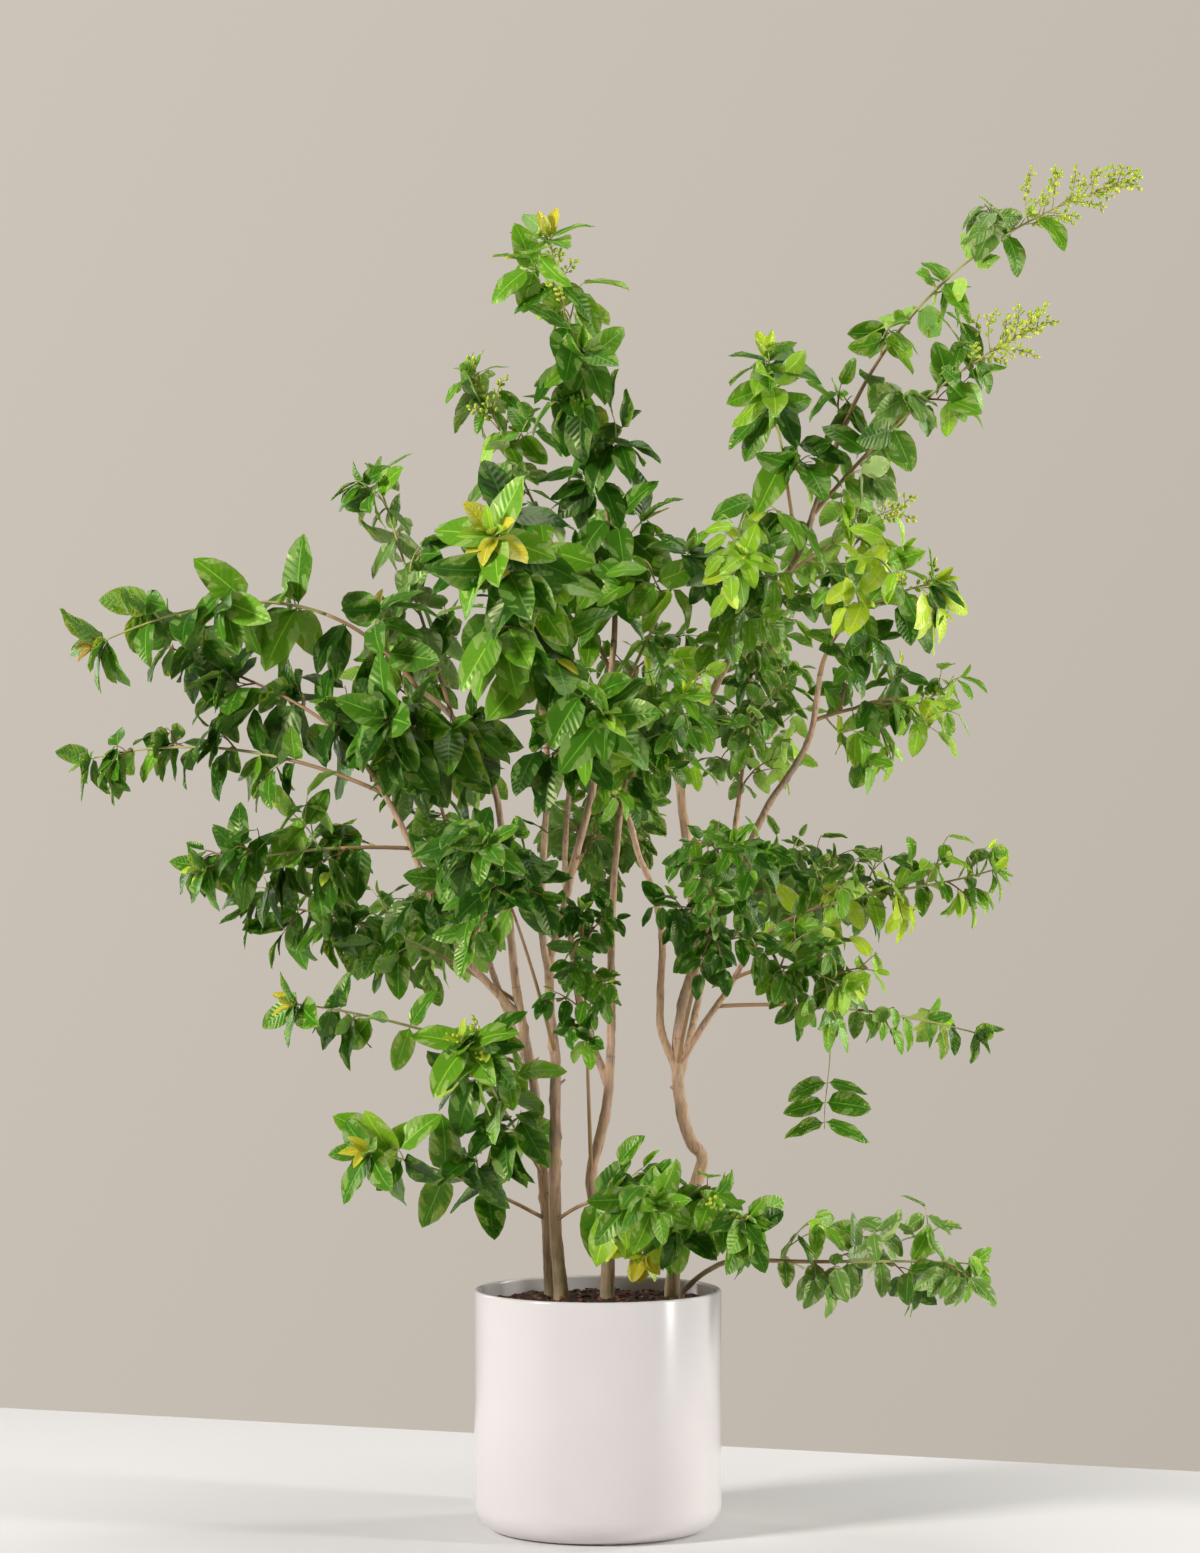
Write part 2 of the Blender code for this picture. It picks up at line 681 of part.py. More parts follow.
class Grower:
    """Grows one mass, testing each twig and leaf against every other solid."""

    def __init__(self, name, mass, path, shapes, others):
        self.mass = mass
        self.path = path
        self.shapes = shapes
        self.others = others
        self.rng = random.Random(name)
        self.spans = list(zip(path, path[1:]))
        self.pieces = []
        self.leaf_trees = []

    def within(self, point):
        """True inside the mass's own space, a tube of its reach about its stems."""
        return any(
            distance_to(point, first, second) < self.mass.reach
            for first, second in self.spans
        )

    def add_twig(self, path):
        """Fuses on a side twig unless it leaves its space or touches another solid."""
        if not self.within(path[-1]):
            return False
        radii = [
            TWIG_FOOT_RADIUS + (TWIG_TIP_RADIUS - TWIG_FOOT_RADIUS) * t
            for t in lengths_along(path)
        ]
        wider = [radius + CLEAR for radius in radii]
        test = tube("test", path, wider, 0, self.shapes.section)
        touches = tree_of(test).overlap(self.others)
        bpy.data.meshes.remove(test)
        if touches:
            return False
        self.pieces.append(tube("twig", path, radii, 0, self.shapes.section))
        return True

    def add_leaf(self, root, along, scale):
        """Fuses on a leaf unless it leaves its space or touches a solid or another leaf."""
        size = scale * self.mass.leaf_scale * self.rng.uniform(LEAF_SMALLEST, LEAF_LARGEST)
        tilt = Vector((
            self.rng.uniform(-LEAF_TILT, LEAF_TILT),
            self.rng.uniform(-LEAF_TILT, LEAF_TILT),
            1,
        ))
        if not self.within(root + along.normalized() * LEAF_LENGTH * size * LEAF_INSIDE):
            return
        place = leaf_matrix(root, along, tilt, size)
        if tree_of(self.shapes.whole_test, place).overlap(self.others):
            return
        blade = tree_of(self.shapes.blade_test, place)
        if any(blade.overlap(tree) for tree in self.leaf_trees):
            return
        placed = self.shapes.leaf.copy()
        placed.transform(place)
        self.pieces.append(placed)
        self.leaf_trees.append(tree_of(placed))

    def add_pair(self, path, fraction, side, scale):
        """Two opposite leaves at a place on a stem, leaning forwards and drooping."""
        root, along = place_along(path, fraction)
        droop = Vector((0, 0, -self.rng.uniform(LEAST_DROOP, MOST_DROOP)))
        for way in (-1, 1):
            lean = along * self.rng.uniform(LEAST_LEAN, MOST_LEAN)
            self.add_leaf(root, side * way * LEAF_SPREAD + lean + droop, scale)

    def add_tip_leaf(self, path, scale):
        """A leaf that carries on from the end of a stem, its root sunk into that end."""
        tip, along = place_along(path, 1)
        self.add_leaf(tip - along * TIP_SINK, along + Vector((0, 0, -TIP_LEAF_DROOP)), scale)

    def dress_stem(self):
        """Leaf pairs along the main stem, turning a little from pair to pair, and a tip leaf."""
        pairs = self.mass.pairs
        for index in range(pairs):
            t = LEAVES_FROM + (LEAVES_TO - LEAVES_FROM) * index / max(pairs - 1, 1)
            _, along = place_along(self.path, t)
            side = level_side(along)
            up = along.cross(side).normalized()
            turn = PAIR_ROLL * (1 - 2 * (index % 2))
            turn += self.rng.uniform(-PAIR_ROLL_JITTER, PAIR_ROLL_JITTER)
            turned_side = side * cos(turn) + up * sin(turn)
            scale = 1 - (1 - TIP_LEAF_SCALE) * t ** TIP_LEAF_SHRINK
            self.add_pair(self.path, t, turned_side, scale)
        self.add_tip_leaf(self.path, TIP_LEAF_SCALE)

    def branch(self):
        """Side twigs at even steps up the main stem, each a golden turn on from the last."""
        first_turn = self.rng.uniform(0, 2 * pi)
        for index in range(self.mass.twigs):
            t = TWIG_FROM + (TWIG_TO - TWIG_FROM) * (index + 0.5) / self.mass.twigs
            foot, along = place_along(self.path, t)
            side = level_side(along)
            up = along.cross(side).normalized()
            turn = first_turn + GOLDEN_TURN * index
            out = side * cos(turn) + up * sin(turn)
            way = along * cos(TWIG_LEAN) + out * sin(TWIG_LEAN)
            length = self.mass.reach * self.rng.uniform(TWIG_SHORTEST, TWIG_LONGEST)
            tip = foot + way * length + Vector((0, 0, TWIG_RISE))
            path = [foot, tip]
            if not self.add_twig(path):
                continue
            side = level_side(way)
            self.add_pair(path, TWIG_PAIR_AT, side, TWIG_LEAF_SCALE)
            self.add_tip_leaf(path, TWIG_LEAF_SCALE)

    def hang_shoot(self):
        """A thin shoot that hangs straight down, with leaf pairs that spread to both sides."""
        foot, _ = place_along(self.path, HANGING_AT)
        tip = foot - Vector((0, 0, self.mass.hanging))
        self.spans.append((foot, tip))
        if not self.add_twig([foot, tip]):
            return
        for fraction in HANGING_PAIRS:
            root = foot.lerp(tip, fraction)
            for way in (-1, 1):
                self.add_leaf(root, Vector((way, 0, -HANGING_LEAF_DROOP)), HANGING_LEAF_SCALE)

    def add_buds(self):
        """Buds on short twigs round the last stretch of the main stem."""
        for index in range(self.mass.buds):
            t = 1 - BUD_REACH * index / self.mass.buds
            foot, along = place_along(self.path, t)
            side = level_side(along)
            up = along.cross(side).normalized()
            turn = GOLDEN_TURN * index
            out = side * cos(turn) + up * sin(turn)
            length = BUD_TWIG * (1 - BUD_SHORTENING * (1 - t))
            tip = foot + (along + out) * BUD_SPREAD * length
            if index == 0:
                tip = foot + along * BUD_TWIG * END_BUD
            if not self.add_twig([foot, tip]):
                continue
            placed = self.shapes.bud.copy()
            placed.transform(Matrix.Translation(tip) @ Matrix.Diagonal((*[BUD_RADIUS] * 3, 1)))
            self.pieces.append(placed)

    def grow(self):
        if self.mass.hanging:
            self.hang_shoot()
        self.branch()
        self.add_buds()
        self.dress_stem()
        return self.pieces


def join_pieces(held, pieces):
    """Joins a mass's twigs, leaves and buds to its main stem with one Boolean union."""
    if not pieces:
        return
    added = bpy.data.collections.new("added")
    bpy.context.scene.collection.children.link(added)
    for mesh in pieces:
        added.objects.link(bpy.data.objects.new("piece", mesh))
    union = held.modifiers.new("union", "BOOLEAN")
    union.operation = "UNION"
    union.operand_type = "COLLECTION"
    union.collection = added
    take_result(held)
    for piece in list(added.objects):
        drop(piece)
    bpy.data.collections.remove(added)
    keep_body(held.data)


def build_pot(parts):
    white = new_material("white glazed pot", POT_COLOUR, 0.35)
    potting_mix = new_material("potting mix", SOIL_COLOUR, 0.95)
    turned("pot", pot_profile(), parts, white)
    turned("soil", soil_profile(), parts, potting_mix)


def cut_foot(held, limb_name, paths, radii):
    """Copes the foot of a bough or mass round the limb that it grows from."""
    sides_step = STEM_SIDES_STEP if limb_name in STEMS else BOUGH_SIDES_STEP
    cut_clear(held, paths[limb_name], radii[limb_name], sides_step)


def build_limbs(parts, bark):
    """Builds stems, then boughs from their limbs outwards; returns their paths and radii."""
    paths = {}
    radii = {}
    for name, limb in {**STEMS, **BOUGHS}.items():
        sides_step = BOUGH_SIDES_STEP if limb.grows_from else STEM_SIDES_STEP
        paths[name] = limb_path(limb, paths)
        radii[name] = limb_radii(limb, paths[name])
        held = link(name, tube(name, paths[name], radii[name], sides_step), parts, bark)
        if limb.grows_from and limb.at < 1:
            cut_foot(held, limb.grows_from, paths, radii)
        held.data.shade_smooth()
    return paths, radii


def surface_of(names):
    """One contact tree over several solids."""
    corners = []
    faces = []
    for name in names:
        mesh = evaluated_mesh(bpy.data.objects[name])
        first = len(corners)
        corners.extend(vert.co.copy() for vert in mesh.vertices)
        faces.extend(tuple(first + index for index in face.vertices) for face in mesh.polygons)
    return BVHTree.FromPolygons(corners, faces)


def build_masses(parts, guides, foliage, paths, radii):
    """Builds every main stem first, so that each mass then grows clear of the others' stems."""
    shapes = Shapes(guides)
    stems = {}
    for name, mass in MASSES.items():
        stems[name] = main_path(mass, paths)
        mesh = tube(name, stems[name], main_radii(stems[name]), 0, shapes.section)
        held = link(name, mesh, parts, foliage)
        if mass.at < 1:
            cut_foot(held, mass.grows_from, paths, radii)
    solids = ["pot", "soil", *STEMS, *BOUGHS, *MASSES]
    for name, mass in MASSES.items():
        others = surface_of(solid for solid in solids if solid != name)
        grower = Grower(name, mass, stems[name], shapes, others)
        join_pieces(bpy.data.objects[name], grower.grow())


def main():
    clear_scene()
    parts = new_collection("potted crape myrtle")
    guides = new_collection("guides")
    bark = new_material("crape myrtle bark", BARK_COLOUR, 0.8)
    foliage = new_material("crape myrtle foliage", LEAF_COLOUR, 0.5)
    build_pot(parts)
    paths, radii = build_limbs(parts, bark)
    build_masses(parts, guides, foliage, paths, radii)


main()
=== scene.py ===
"""The finished look of a potted crape myrtle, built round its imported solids.

The plant is grown here by the same rule as its solids: stems and boughs are tubes through the
same bends, and every mass of foliage branches by a seeded rule from its main stem, carried on to
finer twigs inside its reach. Lengths are in metres, +Z is up and -Y is the front.
"""

import logging
import random
from dataclasses import dataclass, field
from enum import Enum
from itertools import product
from math import cos, pi, radians, sin

import bpy
import numpy as np
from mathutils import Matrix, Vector


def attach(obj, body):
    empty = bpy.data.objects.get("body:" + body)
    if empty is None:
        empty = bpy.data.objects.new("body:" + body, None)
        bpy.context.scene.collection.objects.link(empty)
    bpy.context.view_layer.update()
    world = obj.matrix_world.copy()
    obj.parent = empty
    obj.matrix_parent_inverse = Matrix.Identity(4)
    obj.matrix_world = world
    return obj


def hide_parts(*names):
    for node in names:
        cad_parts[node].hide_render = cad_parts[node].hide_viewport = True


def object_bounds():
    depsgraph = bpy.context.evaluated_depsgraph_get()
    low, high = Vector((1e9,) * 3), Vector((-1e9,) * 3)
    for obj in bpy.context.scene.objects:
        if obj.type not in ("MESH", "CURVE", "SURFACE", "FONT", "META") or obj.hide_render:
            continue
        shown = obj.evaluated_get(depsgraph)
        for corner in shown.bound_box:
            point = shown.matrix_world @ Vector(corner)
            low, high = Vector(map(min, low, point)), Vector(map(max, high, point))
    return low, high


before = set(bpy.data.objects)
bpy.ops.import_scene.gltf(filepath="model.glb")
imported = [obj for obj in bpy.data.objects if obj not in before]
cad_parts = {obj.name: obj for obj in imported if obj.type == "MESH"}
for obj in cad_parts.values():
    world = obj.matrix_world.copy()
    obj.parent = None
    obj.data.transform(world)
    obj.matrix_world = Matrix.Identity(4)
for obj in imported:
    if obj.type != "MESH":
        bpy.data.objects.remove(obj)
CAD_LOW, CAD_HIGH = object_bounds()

Array = np.ndarray
Colour = tuple[float, float, float, float]
Socket = bpy.types.NodeSocket
LOG = logging.getLogger("crape_myrtle")
BODY = "root"
GOLDEN_TURN = radians(137.5)
SOIL_TOP = 0.305


def linear(hex_colour: str) -> Colour:
    """Turns an sRGB hex value to a linear colour.

    Args:
        hex_colour: A value such as "#3C7A2A".

    Returns:
        Red, green, blue and an alpha of 1, in linear light.
    """
    values = [int(hex_colour[start : start + 2], 16) / 255 for start in (1, 3, 5)]
    channels = [v / 12.92 if v <= 0.04045 else ((v + 0.055) / 1.055) ** 2.4 for v in values]
    return (channels[0], channels[1], channels[2], 1.0)


def fill_sockets(tree: bpy.types.NodeTree, node: bpy.types.Node, inputs: dict) -> None:
    """Feeds some of a node's sockets.

    Args:
        tree: The node's tree.
        node: The node.
        inputs: Socket name or number to the output socket that feeds it, or to its value.
    """
    for name, value in inputs.items():
        if isinstance(value, bpy.types.NodeSocket):
            tree.links.new(value, node.inputs[name])
        else:
            node.inputs[name].default_value = value


def add_node(tree: bpy.types.NodeTree, kind: str, inputs: dict | None = None,
             **settings: object) -> bpy.types.Node:
    """Adds a node to a tree.

    Args:
        tree: The node tree.
        kind: The node's type, such as "ShaderNodeTexNoise".
        inputs: Socket name or number to the output socket that feeds it, or to its value.
        **settings: The node's own properties, which are set first.

    Returns:
        The new node.
    """
    node = tree.nodes.new(kind)
    for name, setting in settings.items():
        setattr(node, name, setting)
    fill_sockets(tree, node, inputs or {})
    return node


def in_scene(name: str, data: bpy.types.ID) -> bpy.types.Object:
    """Makes an object of a mesh, a light or a camera and links it to the scene."""
    made = bpy.data.objects.new(name, data)
    bpy.context.scene.collection.objects.link(made)
    return made


# Finishes


class Nodes:
    """A material while its nodes are put together, with the nodes that the finishes share."""

    def __init__(self, name: str) -> None:
        """Makes a node material."""
        self.material = bpy.data.materials.new(name)
        self.material.use_nodes = True
        self.tree = self.material.node_tree

    def place(self) -> Socket:
        """The place on the object in metres."""
        return add_node(self.tree, "ShaderNodeTexCoord").outputs["Object"]

    def split(self, place: Socket) -> list[Socket]:
        """A place's X, Y and Z."""
        return list(add_node(self.tree, "ShaderNodeSeparateXYZ", {0: place}).outputs)

    def drawn_out(self, place: Socket, share: float) -> Socket:
        """The place with its height scaled down, which draws a pattern out along a stem."""
        scaled = add_node(self.tree, "ShaderNodeMapping",
                          {"Vector": place, "Scale": (1.0, 1.0, share)})
        return scaled.outputs["Vector"]

    def noise(self, place: Socket, scale: float, detail: float, roughness: float = 0.5) -> Socket:
        """A noise pattern, about so many features to the metre, with finer ones added to them."""
        pattern = add_node(self.tree, "ShaderNodeTexNoise",
                           {"Vector": place, "Scale": scale, "Detail": detail,
                            "Roughness": roughness})
        return pattern.outputs["Fac"]

    def math(self, operation: str, *terms: Socket | float) -> Socket:
        """What an operation makes of its terms."""
        worked = add_node(self.tree, "ShaderNodeMath", dict(enumerate(terms)), operation=operation)
        return worked.outputs[0]

    def ranged(self, value: Socket, old: tuple[float, float], new: tuple[float, float]) -> Socket:
        """A value moved from an old range to a new one, and held within it."""
        moved = add_node(self.tree, "ShaderNodeMapRange",
                         {"Value": value, "From Min": old[0], "From Max": old[1],
                          "To Min": new[0], "To Max": new[1]})
        return moved.outputs["Result"]

    def blend(self, share: Socket, first: Socket | Colour, second: Socket | Colour) -> Socket:
        """Two colours mixed by the share of the second."""
        mixed = add_node(self.tree, "ShaderNodeMix", {"Factor": share, "A": first, "B": second},
                         data_type="RGBA")
        return mixed.outputs["Result"]

    def bump(self, height: Socket, strength: float, distance: float,
             under: Socket | None = None) -> Socket:
        """The normal over a relief.

        Args:
            height: The relief's height.
            strength: The share of the relief that shows.
            distance: How high it stands in metres.
            under: The normal of a relief that it is laid on.

        Returns:
            The normal.
        """
        relief = {"Height": height, "Strength": strength, "Distance": distance}
        if under is not None:
            relief["Normal"] = under
        return add_node(self.tree, "ShaderNodeBump", relief).outputs["Normal"]

    def finished(self, inputs: dict) -> bpy.types.Material:
        """Feeds the Principled shader's sockets and gives the material back."""
        fill_sockets(self.tree, self.tree.nodes["Principled BSDF"], inputs)
        return self.material


@dataclass(frozen=True)
class LeafFinish:
    """The surface of a living leaf: a waxy upper side that shines softly over thin green tissue.

    Light passes partly through the blade, which the subsurface share stands for. The colour is
    one plain value, dealt out spray by spray. Only the relief comes from nodes: side veins that
    run forwards from the midrib, drawn on the blade's own map.
    """

    name: str
    colour: str
    roughness: float
    relief: float
    veins: int = 9
    slant: float = 0.75

    def make(self) -> bpy.types.Material:
        """Makes the leaf's material."""
        nodes = Nodes(self.name)
        blade = add_node(nodes.tree, "ShaderNodeUVMap", uv_map="blade").outputs["UV"]
        across, along, _ = nodes.split(blade)
        beside = nodes.math("ABSOLUTE", nodes.math("SUBTRACT", across, 0.5))
        run = nodes.math("MULTIPLY_ADD", beside, -self.slant, along)
        quilted = nodes.math("SINE", nodes.math("MULTIPLY", run, 2 * pi * self.veins))
        return nodes.finished({
            "Base Color": linear(self.colour),
            "Roughness": self.roughness,
            "IOR": 1.45,
            "Specular Tint": linear("#E4F2A8"),
            "Subsurface Weight": 0.30,
            "Subsurface Radius": (0.7, 1.0, 0.2),
            "Subsurface Scale": 0.003,
            "Normal": nodes.bump(quilted, self.relief, 0.0010),
        })


@dataclass(frozen=True)
class ShootFinish:
    """The skin of a young twig: smooth, slightly waxy, with fine ridges."""

    name: str
    colour: str
    roughness: float = 0.55

    def make(self) -> bpy.types.Material:
        """Makes the twig's material."""
        nodes = Nodes(self.name)
        # lenticels and ridges about 2 mm apart
        ridges = nodes.noise(nodes.place(), 500.0, 1.0)
        return nodes.finished({
            "Base Color": linear(self.colour),
            "Roughness": self.roughness,
            "Normal": nodes.bump(ridges, 0.3, 0.0004),
        })


@dataclass(frozen=True)
class BarkFinish:
    """Thin crape myrtle bark: tan skin that peels in flakes, with pinkish new wood and grey algae.

    Patches are about 25 mm long and streaks about 2 mm wide, drawn out along the stem. Moss
    covers the lowest hand's breadth and thins out upwards.
    """

    name: str = "crape myrtle bark, thin and flaking"
    tan: str = "#C2A07C"
    pink: str = "#C9A48E"
    grey: str = "#938B72"
    dark: str = "#7A5C45"
    moss: str = "#6C7446"
    moss_heights: tuple = (0.30, 0.46)

    def make(self) -> bpy.types.Material:
        """Makes the bark's material."""
        nodes = Nodes(self.name)
        place = nodes.place()
        patches = nodes.noise(nodes.drawn_out(place, 0.35), 45.0, 4.0, 0.6)
        peeled = add_node(nodes.tree, "ShaderNodeValToRGB", {"Fac": patches})
        from_tan, to_pink = peeled.color_ramp.elements
        from_tan.position, from_tan.color = 0.40, linear(self.tan)
        to_pink.position, to_pink.color = 0.62, linear(self.pink)
        algae = nodes.noise(place, 22.0, 5.0, 0.65)
        algae_share = nodes.ranged(algae, (0.52, 0.66), (0.0, 0.65))
        greyed = nodes.blend(algae_share, peeled.outputs["Color"], linear(self.grey))
        streaks = nodes.noise(nodes.drawn_out(place, 0.12), 320.0, 3.0)
        streak_share = nodes.ranged(streaks, (0.50, 0.72), (0.0, 0.75))
        darkened = nodes.blend(streak_share, greyed, linear(self.dark))
        low = nodes.ranged(nodes.split(place)[2], self.moss_heights, (1.0, 0.0))
        mossy = nodes.blend(nodes.math("MULTIPLY", low, algae), darkened, linear(self.moss))
        streaked = nodes.bump(streaks, 0.5, 0.0009)
        return nodes.finished({
            "Base Color": mossy,
            "Roughness": 0.78,
            "Normal": nodes.bump(patches, 0.5, 0.0012, streaked),
        })


@dataclass(frozen=True)
class PotFinish:
    """Glazed stoneware with an off-white satin glaze: a broad soft shine over a faint ripple."""

    name: str = "stoneware with an off-white satin glaze"
    colour: str = "#DED9D9"
    warmer: str = "#D9D3D2"

    def make(self) -> bpy.types.Material:
        """Makes the pot's material."""
        nodes = Nodes(self.name)
        place = nodes.place()
        # the glaze runs a little thicker here and there, over about 80 mm
        runs = nodes.noise(place, 12.0, 2.0)
        # orange-peel of the glaze, about 4 mm
        peel = nodes.noise(place, 250.0, 1.0)
        return nodes.finished({
            "Base Color": nodes.blend(runs, linear(self.colour), linear(self.warmer)),
            "Roughness": nodes.ranged(runs, (0.0, 1.0), (0.17, 0.24)),
            "Normal": nodes.bump(peel, 0.12, 0.0003),
        })


@dataclass(frozen=True)
class SoilFinish:
    """Moist potting mix or a chip in it: matt, crumbly and uneven in colour."""

    name: str
    colour: str
    darker: str
    grain_mm: float

    def make(self) -> bpy.types.Material:
        """Makes the potting mix's material."""
        nodes = Nodes(self.name)
        crumbs = nodes.noise(nodes.place(), 1000 / self.grain_mm, 4.0, 0.7)
        return nodes.finished({
            "Base Color": nodes.blend(crumbs, linear(self.darker), linear(self.colour)),
            "Roughness": 0.92,
            "Normal": nodes.bump(crumbs, 0.8, 0.0015),
        })


@dataclass(frozen=True)
class StudioFinish:
    """Matt painted board for the studio floor, with a faint tone over half a metre."""

    name: str = "matt painted board, pale"
    colour: str = "#EAE8E7"
    shade: str = "#E6E4E3"

    def make(self) -> bpy.types.Material:
        """Makes the board's material."""
        nodes = Nodes(self.name)
        tone = nodes.noise(nodes.place(), 1.5, 1.0)
        return nodes.finished({
            "Base Color": nodes.blend(tone, linear(self.colour), linear(self.shade)),
            "Roughness": 0.85,
        })


class Tint(Enum):
    """The leaf colours that are dealt out by spray: upper side, underside and midrib.

    The first six run from the darkest to the lightest. SHADE is painted shade, and the others are
    partly the leaves' own greens, partly painted shade and light where the moods deal them out by a
    mass's place.
    """

    # painted shade: the darkest tint, for leaves that lie in shade
    SHADE = ("#1B3C0A", "#44642A", "#335F17")
    DEEP = ("#28530E", "#567C32", "#467A1D")
    MID = ("#407218", "#6A9340", "#6CA42C")
    FRESH = ("#629820", "#8AB24E", "#98C23E")
    BRIGHT = ("#8CBC2A", "#A6CC5C", "#C0DC56")
    LIME = ("#BAD832", "#C0D860", "#D0E46C")
    GOLD = ("#D4C832", "#D4D060", "#E8E478")
    BRONZE = ("#B8862A", "#BEA04E", "#D6B458")
    GREY = ("#62883A", "#9AB070", "#92B65E")

    def varied(self, rng: random.Random) -> "Tint":
        """A leaf's own tint: mostly its spray's, at times the next darker or lighter one."""
        steps = list(Tint)[:6]
        if self not in steps:
            return self
        step = steps.index(self) + rng.choices((-1, 0, 1), (0.27, 0.50, 0.23))[0]
        return steps[min(max(step, 0), 5)]


class Mood(Enum):
    """How a mass mixes its tints, partly as painted shade and light: (tint, share at its foot,
    share at its tip).
    """

    # painted shade: darker tints for the leaves inside the crown
    INNER = (("SHADE", 0.40, 0.20), ("DEEP", 0.42, 0.40), ("MID", 0.18, 0.34),
             ("FRESH", 0.0, 0.06))
    # painted shade: darker tints for the masses on the left side of the crown
    LEFT = (("SHADE", 0.20, 0.10), ("DEEP", 0.42, 0.34), ("MID", 0.32, 0.40),
            ("FRESH", 0.06, 0.16))
    CROWN = (("SHADE", 0.16, 0.06), ("DEEP", 0.34, 0.22), ("MID", 0.26, 0.28),
             ("FRESH", 0.18, 0.26), ("BRIGHT", 0.06, 0.18))
    # painted light: lighter tints for the sunlit masses on the right
    SUNNY = (("DEEP", 0.10, 0.02), ("MID", 0.28, 0.10), ("FRESH", 0.36, 0.26),
             ("BRIGHT", 0.22, 0.40), ("LIME", 0.04, 0.22))
    SPIRE = (("DEEP", 0.30, 0.16), ("MID", 0.40, 0.36), ("FRESH", 0.26, 0.34),
             ("BRIGHT", 0.04, 0.14))
    # painted shade: darker tints for the leaves under the rosette's bright whorl
    NEW = (("SHADE", 0.20, 0.10), ("DEEP", 0.45, 0.35), ("MID", 0.30, 0.35),
           ("FRESH", 0.05, 0.20))
    GREY = (("DEEP", 0.20, 0.15), ("GREY", 0.55, 0.60), ("MID", 0.25, 0.25))
    OLIVE = (("DEEP", 0.10, 0.10), ("GREY", 0.40, 0.35), ("MID", 0.25, 0.25),
             ("FRESH", 0.25, 0.30))
    SPROUT = (("BRIGHT", 0.15, 0.10), ("LIME", 0.65, 0.65), ("GOLD", 0.20, 0.25))


# Tables of limbs, masses and stubs


@dataclass(frozen=True)
class Limb:
    """A stem or bough: what it grows from and where, its bends up to the tip, and its radii."""

    grows_from: str
    at: float
    bends: tuple
    foot_radius: float
    tip_radius: float


@dataclass(frozen=True)
class Mass:
    """A mass of foliage.

    Limb, place on it, tip, rise of its middle and reach are those of its solid, but for the tips
    of foliage_left_high_arch, foliage_leader, foliage_centre_low and foliage_right_leader, which
    lie as the photo shows them, up to 66 mm off. Then come its side twigs, the branches of its
    flower panicle, the length of its leaves, how it mixes its tints, the tint of its youngest
    leaves, the share of its stem that is bare at the foot, and the length of a shoot that hangs
    from it.
    """

    grows_from: str
    at: float
    tip: tuple
    arch: float
    reach: float
    twigs: int
    panicle: int
    leaf: float
    mood: Mood = Mood.CROWN
    young: Tint = Tint.FRESH
    bare: float = 0.14
    hanging: float = 0.0


STEMS = {
    "stem_left": Limb("", 0, (
        (-0.064, 0.062, 0), (-0.068, 0.060, 0.391), (-0.078, 0.055, 0.517),
        (-0.087, 0.050, 0.594), (-0.100, 0.045, 0.663), (-0.110, 0.045, 0.720),
    ), 0.0080, 0.0058),
    "stem_centre": Limb("", 0, (
        (-0.049, 0.020, 0), (-0.057, 0.020, 0.405), (-0.057, 0.015, 0.550),
        (-0.057, 0.010, 0.628), (-0.064, 0.000, 0.693), (-0.064, 0.000, 0.765),
    ), 0.0092, 0.0058),
    "stem_middle": Limb("", 0, (
        (0.013, 0.030, 0), (0.012, 0.030, 0.370), (-0.007, 0.030, 0.445),
        (-0.007, 0.030, 0.482), (0.003, 0.030, 0.519), (0.013, 0.030, 0.570),
        (0.017, 0.030, 0.628),
    ), 0.0092, 0.0060),
    "stem_right": Limb("", 0, (
        (0.100, 0.050, 0), (0.108, 0.050, 0.385), (0.126, 0.050, 0.440),
        (0.141, 0.050, 0.488), (0.126, 0.050, 0.512), (0.113, 0.050, 0.553),
        (0.107, 0.050, 0.613), (0.108, 0.050, 0.651),
    ), 0.0090, 0.0078),
    "stem_low": Limb("", 0, (
        (0.112, 0.000, 0), (0.139, -0.010, 0.340), (0.168, -0.030, 0.358),
        (0.200, -0.048, 0.366), (0.227, -0.060, 0.364),
    ), 0.0036, 0.0030),
}

